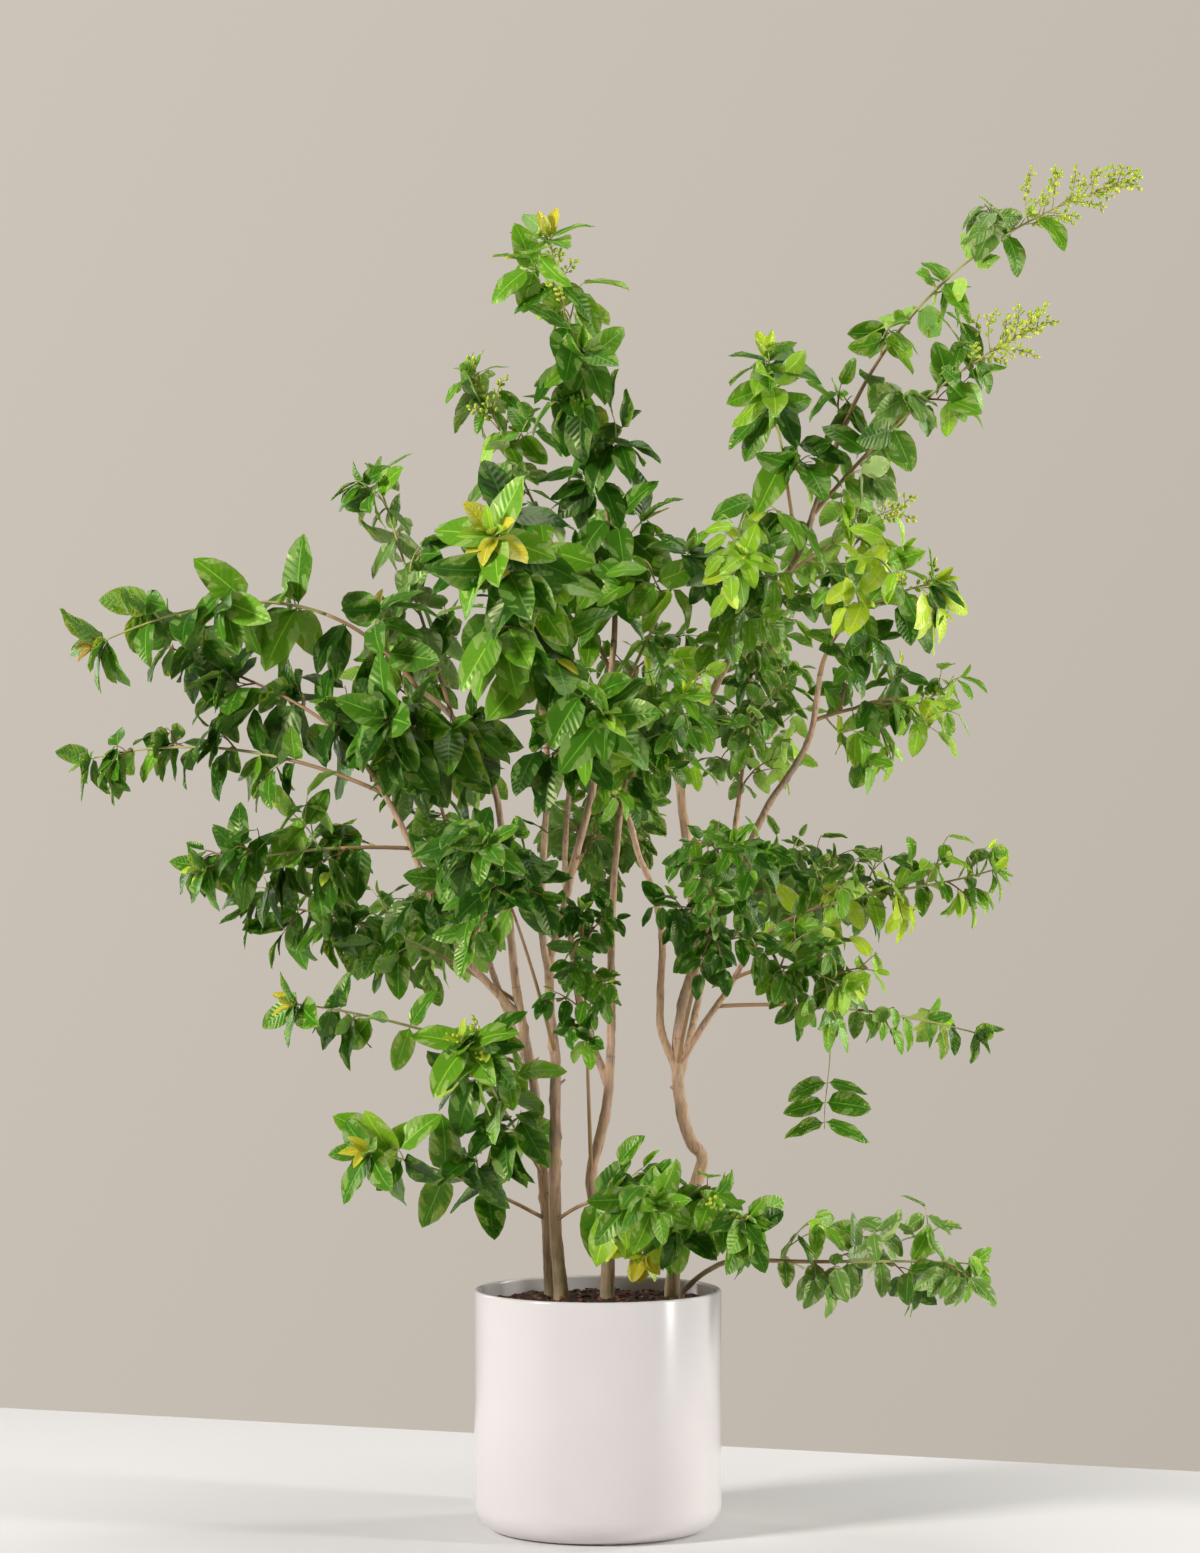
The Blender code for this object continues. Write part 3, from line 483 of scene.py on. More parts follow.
BOUGHS = {
    "bough_left_long": Limb("stem_left", 0.90, (
        (-0.150, 0.030, 0.729), (-0.205, 0.015, 0.790), (-0.228, 0.000, 0.858),
        (-0.262, -0.020, 0.940), (-0.299, -0.020, 1.005),
    ), 0.0052, 0.0036),
    "bough_left_high": Limb("stem_left", 1, (
        (-0.118, 0.045, 0.800), (-0.124, 0.035, 0.890), (-0.139, 0.020, 0.990),
        (-0.168, 0.000, 1.049), (-0.202, -0.020, 1.092), (-0.240, -0.030, 1.122),
    ), 0.0056, 0.0034),
    "bough_centre": Limb("stem_centre", 0.94, (
        (-0.074, -0.030, 0.800), (-0.072, -0.048, 0.893), (-0.066, -0.080, 1.012),
        (-0.073, -0.112, 1.092),
    ), 0.0050, 0.0036),
    "bough_leader": Limb("stem_centre", 1, (
        (-0.048, 0.000, 0.812), (-0.036, 0.002, 0.872), (-0.010, 0.020, 0.972),
        (0.011, 0.030, 1.079), (0.022, 0.030, 1.187),
    ), 0.0056, 0.0040),
    "bough_middle_back": Limb("stem_middle", 0.88, (
        (-0.019, 0.058, 0.680), (-0.035, 0.095, 0.770), (-0.045, 0.150, 0.880),
        (-0.040, 0.200, 0.980),
    ), 0.0050, 0.0034),
    "bough_middle": Limb("stem_middle", 1, (
        (0.019, 0.036, 0.700), (0.018, 0.046, 0.775), (0.022, 0.066, 0.863),
        (0.030, 0.085, 0.950),
    ), 0.0058, 0.0038),
    "bough_right_inner": Limb("stem_right", 0.88, (
        (0.086, 0.042, 0.660), (0.084, 0.032, 0.710), (0.086, 0.010, 0.790),
        (0.073, -0.020, 0.854), (0.054, -0.050, 0.901), (0.040, -0.075, 0.956),
    ), 0.0054, 0.0036),
    "bough_right_leader": Limb("stem_right", 1, (
        (0.116, 0.050, 0.705), (0.131, 0.050, 0.763), (0.125, 0.060, 0.877),
        (0.112, 0.060, 0.993), (0.127, 0.050, 1.058), (0.191, 0.030, 1.187),
        (0.262, 0.008, 1.290), (0.300, 0.000, 1.390),
    ), 0.0074, 0.0040),
    "bough_right_upper": Limb("bough_right_leader", 0.14, (
        (0.186, 0.000, 0.874), (0.223, -0.040, 0.960), (0.262, -0.060, 1.020),
        (0.282, -0.080, 1.065), (0.292, -0.100, 1.137),
    ), 0.0054, 0.0036),
    "bough_right_out": Limb("stem_right", 0.89, (
        (0.144, 0.040, 0.673), (0.174, 0.030, 0.717), (0.200, 0.020, 0.765),
    ), 0.0048, 0.0034),
    "bough_back_left": Limb("stem_left", 0.74, (
        (-0.115, 0.110, 0.660), (-0.150, 0.180, 0.750), (-0.190, 0.240, 0.860),
    ), 0.0050, 0.0034),
    "bough_back_right": Limb("stem_right", 0.84, (
        (0.125, 0.100, 0.650), (0.150, 0.170, 0.750), (0.180, 0.230, 0.870),
        (0.195, 0.265, 0.960),
    ), 0.0052, 0.0034),
}

# Name, limb, place on it, tip, rise and reach, and then twigs, panicle branches, leaf length, mood,
# young tint, bare share and, for one, the length of its hanging shoot
MASSES = {f"foliage_{name}": Mass(*row) for name, *row in (
    ("left_high_arch", "bough_left_high", 1, (-0.652, -0.060, 1.184), 0.062, 0.100,
     4, 0, 0.092, Mood.LEFT, Tint.BRONZE, 0.06),
    ("left_second_arch", "bough_left_long", 1, (-0.580, 0.060, 1.180), 0.010, 0.105,
     4, 0, 0.092, Mood.INNER, Tint.FRESH, 0.05),
    ("left_third_arch", "bough_left_long", 0.93, (-0.685, 0.060, 1.028), 0.035, 0.100,
     4, 0, 0.072, Mood.LEFT, Tint.BRIGHT, 0.25),
    ("left_middle", "bough_left_long", 0.72, (-0.515, -0.100, 0.885), 0.010, 0.110,
     6, 0, 0.080, Mood.LEFT, Tint.LIME, 0.10),
    ("left_under", "stem_left", 0.95, (-0.470, 0.140, 0.828), 0.030, 0.105,
     7, 0, 0.074, Mood.LEFT, Tint.FRESH, 0.35),
    ("left_low_arch", "stem_left", 0.74, (-0.395, -0.100, 0.705), 0.012, 0.100,
     1, 0, 0.074, Mood.LEFT, Tint.GOLD, 0.45),
    ("left_cluster", "stem_left", 0.4, (-0.173, -0.090, 0.650), 0.000, 0.110,
     4, 4, 0.090, Mood.SPIRE, Tint.LIME, 0.25),
    ("left_lowest_arch", "stem_left", 0.26, (-0.300, -0.100, 0.512), 0.010, 0.100,
     2, 0, 0.086, Mood.LEFT, Tint.GOLD, 0.24),
    ("left_core", "bough_left_high", 0.62, (-0.270, -0.150, 1.080), 0.010, 0.120,
     5, 0, 0.104, Mood.INNER, Tint.MID, 0.08),
    ("left_inner", "bough_left_long", 0.44, (-0.170, -0.130, 0.900), 0.010, 0.120,
     5, 0, 0.084, Mood.INNER, Tint.MID, 0.20),
    ("left_grey", "bough_left_high", 0.86, (-0.296, 0.050, 1.405), 0.000, 0.100,
     5, 0, 0.070, Mood.GREY, Tint.GREY, 0.20),
    ("leader", "bough_leader", 1, (-0.064, 0.000, 1.724), 0.000, 0.115,
     8, 5, 0.088, Mood.SPIRE, Tint.GOLD, 0.05),
    ("leader_side", "bough_leader", 0.9, (-0.168, 0.085, 1.550), 0.000, 0.100,
     6, 5, 0.066, Mood.OLIVE, Tint.BRIGHT, 0.10),
    ("rosette", "bough_centre", 1, (-0.132, -0.285, 1.310), 0.000, 0.130,
     7, 0, 0.108, Mood.NEW, Tint.GOLD, 0.12),
    ("centre_high", "bough_leader", 0.72, (0.120, -0.080, 1.300), 0.000, 0.120,
     2, 0, 0.080, Mood.CROWN, Tint.FRESH, 0.10),
    ("centre_front", "bough_centre", 0.76, (0.010, -0.260, 1.080), 0.020, 0.125,
     3, 0, 0.092, Mood.LEFT, Tint.BRIGHT, 0.10),
    ("centre_inner", "bough_middle", 1, (0.080, 0.160, 1.200), 0.000, 0.120,
     5, 0, 0.046, Mood.INNER, Tint.MID, 0.05),
    ("centre_right", "bough_right_inner", 1, (0.110, -0.210, 1.110), 0.000, 0.120,
     10, 0, 0.048, Mood.CROWN, Tint.LIME, 0.05),
    ("back_high", "bough_middle_back", 1, (-0.080, 0.330, 1.310), 0.020, 0.130,
     2, 0, 0.062, Mood.CROWN, Tint.FRESH, 0.15),
    ("back_middle", "bough_middle_back", 0.66, (0.030, 0.430, 0.950), 0.020, 0.125,
     12, 0, 0.052, Mood.INNER, Tint.FRESH, 0.30),
    ("front_left", "stem_centre", 0.72, (-0.140, -0.380, 0.920), 0.020, 0.120,
     6, 0, 0.072, Mood.INNER, Tint.MID, 0.62),
    ("front_right", "stem_right", 0.9, (0.170, -0.360, 0.920), 0.020, 0.120,
     11, 0, 0.048, Mood.INNER, Tint.FRESH, 0.45),
    ("centre_low", "stem_centre", 0.24, (0.075, -0.160, 0.447), 0.020, 0.110,
     3, 0, 0.082, Mood.SPIRE, Tint.FRESH, 0.35),
    ("centre_low_right", "stem_middle", 0.26, (0.195, -0.140, 0.425), 0.015, 0.100,
     4, 2, 0.072, Mood.SPIRE, Tint.FRESH, 0.42),
    ("middle_thin", "stem_middle", 0.52, (-0.020, -0.170, 0.830), 0.000, 0.100,
     8, 0, 0.043, Mood.INNER, Tint.BRIGHT, 0.48),
    ("right_long_shoot", "bough_right_leader", 1, (0.722, 0.050, 1.806), 0.075, 0.095,
     4, 24, 0.070, Mood.OLIVE, Tint.FRESH, 0.05),
    ("right_second_shoot", "bough_right_leader", 0.95, (0.580, -0.100, 1.595), 0.030, 0.095,
     5, 16, 0.066, Mood.OLIVE, Tint.BRIGHT, 0.10),
    ("right_leader", "bough_right_leader", 0.88, (0.225, -0.080, 1.552), 0.000, 0.110,
     4, 0, 0.086, Mood.SPIRE, Tint.LIME, 0.05),
    ("right_bud_shoot", "bough_right_leader", 0.84, (0.410, 0.130, 1.360), 0.010, 0.100,
     5, 6, 0.064, Mood.SUNNY, Tint.LIME, 0.10),
    ("right_side_upper", "bough_right_upper", 1, (0.435, -0.190, 1.255), 0.020, 0.115,
     6, 3, 0.070, Mood.SUNNY, Tint.LIME, 0.08),
    ("right_side_lower", "bough_right_upper", 0.86, (0.450, 0.010, 1.100), 0.010, 0.115,
     8, 2, 0.056, Mood.SUNNY, Tint.LIME, 0.04),
    ("right_core", "bough_right_leader", 0.72, (0.190, -0.170, 1.290), 0.000, 0.120,
     9, 0, 0.054, Mood.CROWN, Tint.LIME, 0.02),
    ("right_middle_shoot", "bough_right_out", 1, (0.530, 0.000, 0.880), 0.000, 0.100,
     10, 0, 0.052, Mood.SUNNY, Tint.LIME, 0.12),
    ("right_centre", "bough_right_out", 0.8, (0.320, -0.130, 0.730), 0.020, 0.110,
     8, 0, 0.050, Mood.CROWN, Tint.BRIGHT, 0.20),
    ("right_sparse_shoot", "bough_right_out", 0.55, (0.515, 0.110, 0.655), 0.015, 0.105,
     2, 0, 0.050, Mood.CROWN, Tint.FRESH, 0.40, 0.165),
    ("low_right", "stem_low", 1, (0.490, -0.100, 0.364), 0.004, 0.110,
     7, 0, 0.060, Mood.OLIVE, Tint.BRIGHT, 0.00),
    ("base_sprout", "stem_right", 0.15, (0.060, -0.010, 0.366), 0.004, 0.080,
     2, 0, 0.048, Mood.SPROUT, Tint.LIME, 0.80),
    ("back_right_high", "bough_back_right", 1, (0.240, 0.400, 1.220), 0.020, 0.125,
     13, 0, 0.052, Mood.CROWN, Tint.FRESH, 0.05),
    ("back_right_low", "bough_back_right", 0.64, (0.350, 0.330, 0.850), 0.020, 0.125,
     15, 0, 0.050, Mood.CROWN, Tint.FRESH, 0.10),
    ("back_left_high", "bough_back_left", 1, (-0.290, 0.370, 1.170), 0.020, 0.125,
     10, 0, 0.066, Mood.CROWN, Tint.FRESH, 0.20),
    ("back_left_low", "bough_back_left", 0.6, (-0.250, 0.400, 0.790), 0.020, 0.125,
     10, 0, 0.066, Mood.CROWN, Tint.FRESH, 0.35),
)}

# Limb, place on it, turn about it in degrees, length of the stub where a shoot was cut off
STUBS = (
    ("stem_right", 0.47, -10, 0.010), ("stem_right", 0.80, 200, 0.006),
    ("stem_middle", 0.36, 30, 0.008), ("stem_middle", 0.70, 170, 0.007),
    ("stem_centre", 0.30, 160, 0.006), ("stem_centre", 0.62, 20, 0.009),
    ("stem_left", 0.45, 190, 0.007), ("stem_left", 0.75, 10, 0.008),
    ("bough_leader", 0.30, 0, 0.008), ("bough_right_leader", 0.20, 15, 0.010),
    ("bough_middle", 0.45, 190, 0.007), ("bough_left_long", 0.35, 60, 0.008),
    ("bough_centre", 0.40, 170, 0.007),
)


# Paths


def full_turn(steps: int) -> Array:
    """Angles evenly spaced round a full turn, starting at 0."""
    return np.arange(steps) * 2 * pi / steps


def unit(vectors: Array) -> Array:
    """Scales vectors to length one along their last axis."""
    return vectors / np.maximum(np.linalg.norm(vectors, axis=-1, keepdims=True), 1e-12)


def curve_through(points: Array, steps: int) -> Array:
    """A smooth curve through points, by Catmull-Rom spans.

    For t from 0 to 1 between p1 and p2, with their neighbours p0 and p3, it is
    (2 p1 + (p2 - p0) t + (2 p0 - 5 p1 + 4 p2 - p3) t^2 + (3 p1 - p0 - 3 p2 + p3) t^3) / 2.

    Args:
        points: The points, one in each row.
        steps: How many pieces each span is cut into.

    Returns:
        The points of the curve.
    """
    ends = np.vstack([2 * points[0] - points[1], points, 2 * points[-1] - points[-2]])
    p0, p1, p2, p3 = (ends[k : len(ends) - 3 + k, None, :] for k in range(4))
    t = (np.arange(steps) / steps)[None, :, None]
    spans = 2 * p1 + (p2 - p0) * t + (2 * p0 - 5 * p1 + 4 * p2 - p3) * t**2
    spans = (spans + (3 * p1 - p0 - 3 * p2 + p3) * t**3) / 2
    return np.vstack([spans.reshape(-1, 3), points[-1]])


def lengths_along(path: Array) -> Array:
    """How far along a path each of its points lies, in metres."""
    return np.concatenate([[0.0], np.cumsum(np.linalg.norm(np.diff(path, axis=0), axis=1))])


def resampled(path: Array, spacing: float) -> Array:
    """The same path with its points evenly spaced.

    Args:
        path: The path's points.
        spacing: About how far apart the new points lie, in metres.

    Returns:
        The new points, at least three.
    """
    along = lengths_along(path)
    count = max(int(along[-1] / spacing), 2) + 1
    stops = np.linspace(0, along[-1], count)
    return np.column_stack([np.interp(stops, along, path[:, axis]) for axis in range(3)])


def place_along(path: Array, fraction: float) -> tuple[Array, Array]:
    """A place on a path.

    Args:
        path: The path's points.
        fraction: The share of its length up to the place.

    Returns:
        The point and the path's direction there.
    """
    along = lengths_along(path)
    stop = fraction * along[-1]
    index = min(int(np.searchsorted(along, stop, side="right")) - 1, len(path) - 2)
    index = max(index, 0)
    span = path[index + 1] - path[index]
    share = (stop - along[index]) / (along[index + 1] - along[index])
    return path[index] + span * share, unit(span)


def gaps_to_spans(points: Array, feet: Array, spans: Array) -> Array:
    """How far each point lies from each straight span.

    Args:
        points: The points, one in each row.
        feet: Where the spans start.
        spans: How each runs from there to its end.

    Returns:
        Distances, with a row for each point and a column for each span.
    """
    t = np.einsum("psk,sk->ps", points[:, None] - feet, spans)
    t = np.clip(t / np.maximum(np.einsum("sk,sk->s", spans, spans), 1e-12), 0, 1)
    return np.linalg.norm(points[:, None] - feet - spans * t[..., None], axis=2)


def gap_to_path(point: Array, path: Array) -> float:
    """How far a point lies from a path."""
    return gaps_to_spans(point[None], path[:-1], np.diff(path, axis=0)).min()


def level_side(along: Array) -> Array:
    """A level direction square to a stem's direction."""
    side = np.array([along[1], -along[0], 0.0])
    size = np.linalg.norm(side)
    return side / size if size > 0.2 else np.array([1.0, 0.0, 0.0])


def frames_along(path: Array) -> tuple[Array, Array]:
    """Two directions square to a path at each of its points.

    The first is the world axis that the path runs least along, made square to the tangent, and
    the second is tangent x first.

    Args:
        path: The path's points.

    Returns:
        The first and the second direction, each with a row for each point.
    """
    tangent = unit(np.gradient(path, axis=0))
    axis = np.eye(3)[int(np.argmin(np.abs(tangent).mean(axis=0)))]
    first = unit(axis - tangent * (tangent @ axis)[:, None])
    return first, np.cross(tangent, first)


# Meshes


@dataclass
class Surface:
    """Points and faces of one piece, gathered until its mesh is made."""

    points: list[Array] = field(default_factory=list)
    faces: list[Array] = field(default_factory=list)
    kinds: list[Array] = field(default_factory=list)
    sharp: list[Array] = field(default_factory=list)
    spots: list[Array] = field(default_factory=list)
    count: int = 0

    def add(self, points: Array, faces: list[Array], kinds: list[Array] | int,
            sharp: Array | None = None, spots: Array | None = None) -> None:
        """Adds points and faces to the surface.

        Args:
            points: The points, one in each row.
            faces: Arrays of faces of one size each, numbered from the first of the points.
            kinds: The faces' material numbers, one array for each array of faces, or one number
                for all of them.
            sharp: Pairs of points whose edge is sharp.
            spots: Each point's place in the piece's own UV map.
        """
        if isinstance(kinds, int):
            kinds = [np.full(len(face), kinds) for face in faces]
        sharp = np.empty((0, 2), int) if sharp is None else sharp
        self.points.append(points)
        self.spots.append(np.zeros((len(points), 2)) if spots is None else spots)
        self.faces.extend(face + self.count for face in faces)
        self.kinds.extend(kinds)
        self.sharp.append(sharp + self.count)
        self.count += len(points)

    def triangles(self) -> int:
        """How many triangles the faces make."""
        return sum(len(face) * (face.shape[1] - 2) for face in self.faces)

    def build(self, name: str, materials: list[bpy.types.Material], slot: str,
              nodes: list[str]) -> None:
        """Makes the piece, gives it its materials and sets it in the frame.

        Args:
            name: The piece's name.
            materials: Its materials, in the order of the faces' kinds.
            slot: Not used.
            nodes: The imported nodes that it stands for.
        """
        mesh = bpy.data.meshes.new(name)
        points = np.concatenate(self.points)
        sizes = np.concatenate([np.full(len(face), face.shape[1]) for face in self.faces])
        corners = np.concatenate([face.ravel() for face in self.faces])
        mesh.vertices.add(len(points))
        mesh.vertices.foreach_set("co", points.astype(np.float32).ravel())
        mesh.loops.add(len(corners))
        mesh.loops.foreach_set("vertex_index", corners.astype(np.int32))
        mesh.polygons.add(len(sizes))
        mesh.polygons.foreach_set("loop_start", (np.cumsum(sizes) - sizes).astype(np.int32))
        used, kinds = np.unique(np.concatenate(self.kinds), return_inverse=True)
        for kind in used:
            mesh.materials.append(materials[int(kind)])
        mesh.polygons.foreach_set("material_index", kinds.astype(np.int32))
        mesh.update(calc_edges=True)
        mesh.shade_smooth()
        spots = np.concatenate(self.spots)
        if spots.any():
            layer = mesh.uv_layers.new(name="blade")
            layer.data.foreach_set("uv", spots[corners].astype(np.float32).ravel())
        self.mark_sharp(mesh, len(points))
        made = in_scene(name, mesh)
        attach(made, BODY)
        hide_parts(*nodes)
        LOG.info("%s: %d triangles, %d materials", name, self.triangles(), len(used))

    def mark_sharp(self, mesh: bpy.types.Mesh, count: int) -> None:
        """Marks the gathered sharp edges, each known by the pair of its points.

        Args:
            mesh: The piece's mesh.
            count: How many points it has.
        """
        wanted = np.concatenate(self.sharp)
        if not len(wanted):
            return
        ends = np.empty(len(mesh.edges) * 2, np.int32)
        mesh.edges.foreach_get("vertices", ends)
        ends = np.sort(ends.reshape(-1, 2).astype(np.int64), axis=1)
        wanted = np.sort(wanted.astype(np.int64), axis=1)
        flags = np.isin(ends[:, 0] * count + ends[:, 1], wanted[:, 0] * count + wanted[:, 1])
        mesh.attributes.new("sharp_edge", "BOOLEAN", "EDGE").data.foreach_set("value", flags)


def ring_quads(rings: int, sides: int) -> Array:
    """Quads between rings of points, each ring closed on itself, facing out for a tube."""
    ring, side = np.meshgrid(np.arange(rings - 1), np.arange(sides), indexing="ij")
    here, beside = ring * sides + side, ring * sides + (side + 1) % sides
    return np.stack([here, beside, beside + sides, here + sides], axis=-1).reshape(-1, 4)


def fan(pole: int, ring: Array, forwards: bool) -> Array:
    """Triangles from a pole to a closed ring of points.

    Args:
        pole: The pole's number.
        ring: The ring's point numbers.
        forwards: True if each triangle follows the ring in its own order.

    Returns:
        The triangles, one in each row.
    """
    after = np.roll(ring, -1)
    middle = np.full(len(ring), pole)
    order = (middle, ring, after) if forwards else (middle, after, ring)
    return np.stack(order, axis=-1)


def closed_faces(rings: int, sides: int, flipped: bool = False) -> list[Array]:
    """Faces of a closed body: its rings of points, then a pole at the first ring and at the last.

    Args:
        rings: How many rings there are.
        sides: How many points each ring has.
        flipped: True where the rings' order turns the faces the other way than on a tube.

    Returns:
        The quads between the rings, and the triangles round the first pole and the last.
    """
    count = rings * sides
    quads = ring_quads(rings, sides)
    return [quads[:, ::-1] if flipped else quads,
            fan(count, np.arange(sides), flipped),
            fan(count + 1, np.arange(count - sides, count), not flipped)]


def for_copies(numbers: Array, copies: int, points: int) -> Array:
    """One shape's faces or edges, repeated for copies of its points.

    Args:
        numbers: The shape's faces or edges, as point numbers.
        copies: How many copies there are.
        points: How many points each copy has.

    Returns:
        The faces or edges of all copies, one in each row.
    """
    offset = (np.arange(copies) * points)[:, None, None]
    return (numbers[None] + offset).reshape(-1, numbers.shape[1])


def add_tube(surface: Surface, path: Array, radii: Array, sides: int, kind: int) -> None:
    """Adds a closed round tube along a path.

    A point is path(s) + radius(s, turn) (first(s) cos(turn) + second(s) sin(turn)), and a pole
    closes each end.

    Args:
        surface: Where it goes.
        path: The middle line.
        radii: One radius for each point of the path, or one for each point and side.
        sides: How many points go round.
        kind: The number of its material.
    """
    turn = full_turn(sides)[None, :, None]
    first, second = frames_along(path)
    out = first[:, None, :] * np.cos(turn) + second[:, None, :] * np.sin(turn)
    wide = radii[:, None] if radii.ndim == 1 else radii
    rings = path[:, None, :] + out * wide[..., None]
    points = np.vstack([rings.reshape(-1, 3), path[:1], path[-1:]])
    surface.add(points, closed_faces(len(path), sides), kind)


# Stems and boughs


@dataclass(frozen=True)
class Waves:
    """A sum of sines over a stem: how many, their turns round it and their lengths along it."""

    count: int
    turns: tuple[int, int]
    lengths: tuple[float, float]

    def over(self, rng: np.random.Generator, s: Array, turn: Array) -> Array:
        """The sum at every point of a stem's grid, about one high.

        It adds up sin(k turn + 2 pi s / length + phase) and divides by the root of the count.

        Args:
            rng: Where each sine's turns, length and phase come from.
            s: The distance along the stem in metres, as a column.
            turn: The angle round it, as a row.

        Returns:
            One number for each ring and side.
        """
        total = np.zeros((s.shape[0], turn.shape[1]))
        for _ in range(self.count):
            k = rng.integers(*self.turns)
            phase = 2 * pi * s / rng.uniform(*self.lengths) * rng.choice((-1, 1))
            total = total + np.sin(k * turn + phase + rng.uniform(0, 2 * pi))
        return total / np.sqrt(self.count)


@dataclass
class StemsAndBoughs:
    """Five stems that rise from the soil and the boughs that fork from them."""

    soil_top: float = SOIL_TOP
    sunk: float = 0.010
    flare: float = 0.16
    flare_height: float = 0.018
    foot_straight: float = 0.010
    collar: float = 0.30
    collar_length: float = 0.016
    ring_spacing: float = 0.0032
    sides: int = 24
    span_steps: int = 12
    lumps: Waves = Waves(6, (0, 3), (0.03, 0.09))
    lump_share: float = 0.035
    flutes: Waves = Waves(8, (4, 8), (0.05, 0.2))
    flute_share: float = 0.022
    flakes: Waves = Waves(12, (1, 6), (0.018, 0.05))
    flake_height: float = 0.00035
    flake_from: float = 0.35
    flake_steepness: float = 6
    knob_spacing: float = 0.070
    knob_height: float = 0.0026
    knob_width: float = 0.0044
    knob_first: float = 0.02
    knob_free_end: float = 0.01
    knob_full_radius: float = 0.008
    stub_sides: int = 10
    stub_rings: int = 7
    stub_lift: float = 0.8
    stub_sunk: float = 0.2
    stub_radii: tuple = (0.42, 0.20)
    paths: dict[str, Array] = field(default_factory=dict)
    radii: dict[str, Array] = field(default_factory=dict)

    def lay_paths(self) -> None:
        """Works out every limb's middle line and radii, stems first."""
        for name, limb in {**STEMS, **BOUGHS}.items():
            bends = np.array(limb.bends, float)
            if not limb.grows_from:
                foot = np.array([bends[0, 0], bends[0, 1], self.soil_top])
                straight = foot + (0, 0, self.foot_straight)
                path = curve_through(np.vstack([straight, bends[1:]]), self.span_steps)
                path = np.vstack([foot - (0, 0, self.sunk), path])
            else:
                start, _ = place_along(self.paths[limb.grows_from], limb.at)
                path = curve_through(np.vstack([start, bends]), self.span_steps)
            path = resampled(path, self.ring_spacing)
            share = lengths_along(path) / lengths_along(path)[-1]
            radii = limb.foot_radius + (limb.tip_radius - limb.foot_radius) * share
            if not limb.grows_from:
                height = np.maximum(path[:, 2] - self.soil_top, 0)
                radii = radii * (1 + self.flare * np.exp(-height / self.flare_height))
            self.paths[name] = path
            self.radii[name] = radii

    def relief(self, name: str, limb: Limb) -> Array:
        """The bark's radius at every point of a limb's grid.

        radius(s, turn) = taper(s) (1 + lumps + flutes) + flakes + knobs. Lumps and flutes are
        sums of sines, and flakes are where such a sum passes a threshold.

        Args:
            name: The limb's name, which seeds its pattern.
            limb: The limb.

        Returns:
            One radius for each ring and side.
        """
        rng = np.random.default_rng(sum(map(ord, name)))
        taper = self.radii[name][:, None]
        s = lengths_along(self.paths[name])[:, None]
        turn = full_turn(self.sides)[None, :]
        lumps = self.lump_share * self.lumps.over(rng, s, turn)
        flutes = self.flute_share * self.flutes.over(rng, s, turn)
        edge = (self.flakes.over(rng, s, turn) - self.flake_from) * self.flake_steepness
        shape = taper * (1 + lumps + flutes) + self.flake_height * np.clip(edge, 0, 1)
        shape = shape + self.knobs(rng, taper, s, turn)
        if limb.grows_from and limb.at < 1:
            shape = shape * (1 + self.collar * np.exp(-s / self.collar_length))
        return shape

    def knobs(self, rng: np.random.Generator, taper: Array, s: Array, turn: Array) -> Array:
        """How high the knobs stand where shoots were cut off: bells round points on the surface.

        A bell is high e^(-(ds^2 + 2 taper^2 (1 - cos(dturn))) / (2 width^2)).

        Args:
            rng: Where the knobs' places and sizes come from.
            taper: The limb's radius at each ring, as a column.
            s: The distance along the limb in metres, as a column.
            turn: The angle round it, as a row.

        Returns:
            One height for each ring and side.
        """
        total = np.zeros((s.shape[0], self.sides))
        at = rng.uniform(self.knob_first, self.knob_spacing)
        size = min(1.0, float(taper.mean()) / self.knob_full_radius)
        while at < s[-1, 0] - self.knob_free_end:
            round_at = rng.uniform(0, 2 * pi)
            width = self.knob_width * rng.uniform(0.7, 1.2) * size
            across = 2 * (1 - np.cos(turn - round_at)) * taper**2
            bell = np.exp(-((s - at) ** 2 + across) / (2 * width**2))
            total = total + bell * self.knob_height * size * rng.uniform(0.5, 1.2)
            at += self.knob_spacing * rng.uniform(0.5, 1.5)
        return total

    def add_stubs(self, surface: Surface, table: dict[str, Limb]) -> None:
        """Adds the short tapered stubs of cut shoots, which lean out and up along their limb.

        Args:
            surface: Where they go.
            table: The limbs whose stubs are added.
        """
        for name, at, turn, length in STUBS:
            if name not in table:
                continue
            root, along = place_along(self.paths[name], at)
            side = level_side(along)
            out = side * cos(radians(turn)) + unit(np.cross(along, side)) * sin(radians(turn))
            limb_radii = (table[name].foot_radius, table[name].tip_radius)
            radius = float(np.interp(at, (0, 1), limb_radii))
            run = np.linspace(self.stub_sunk * radius, radius * 1.2 + length, self.stub_rings)
            path = root + unit(out + along * self.stub_lift) * run[:, None]
            radii = np.linspace(*self.stub_radii, self.stub_rings) * radius
            add_tube(surface, path, radii, self.stub_sides, 0)

    def build(self) -> None:
        """Makes the stems and the boughs as two pieces of barked wood."""
        bark = BarkFinish().make()
        for piece, table in (("stems_with_bark", STEMS), ("boughs_with_bark", BOUGHS)):
            surface = Surface()
            for name, limb in table.items():
                add_tube(surface, self.paths[name], self.relief(name, limb), self.sides, 0)
            self.add_stubs(surface, table)
            surface.build(piece, [bark], "bark", list(table))


# Foliage


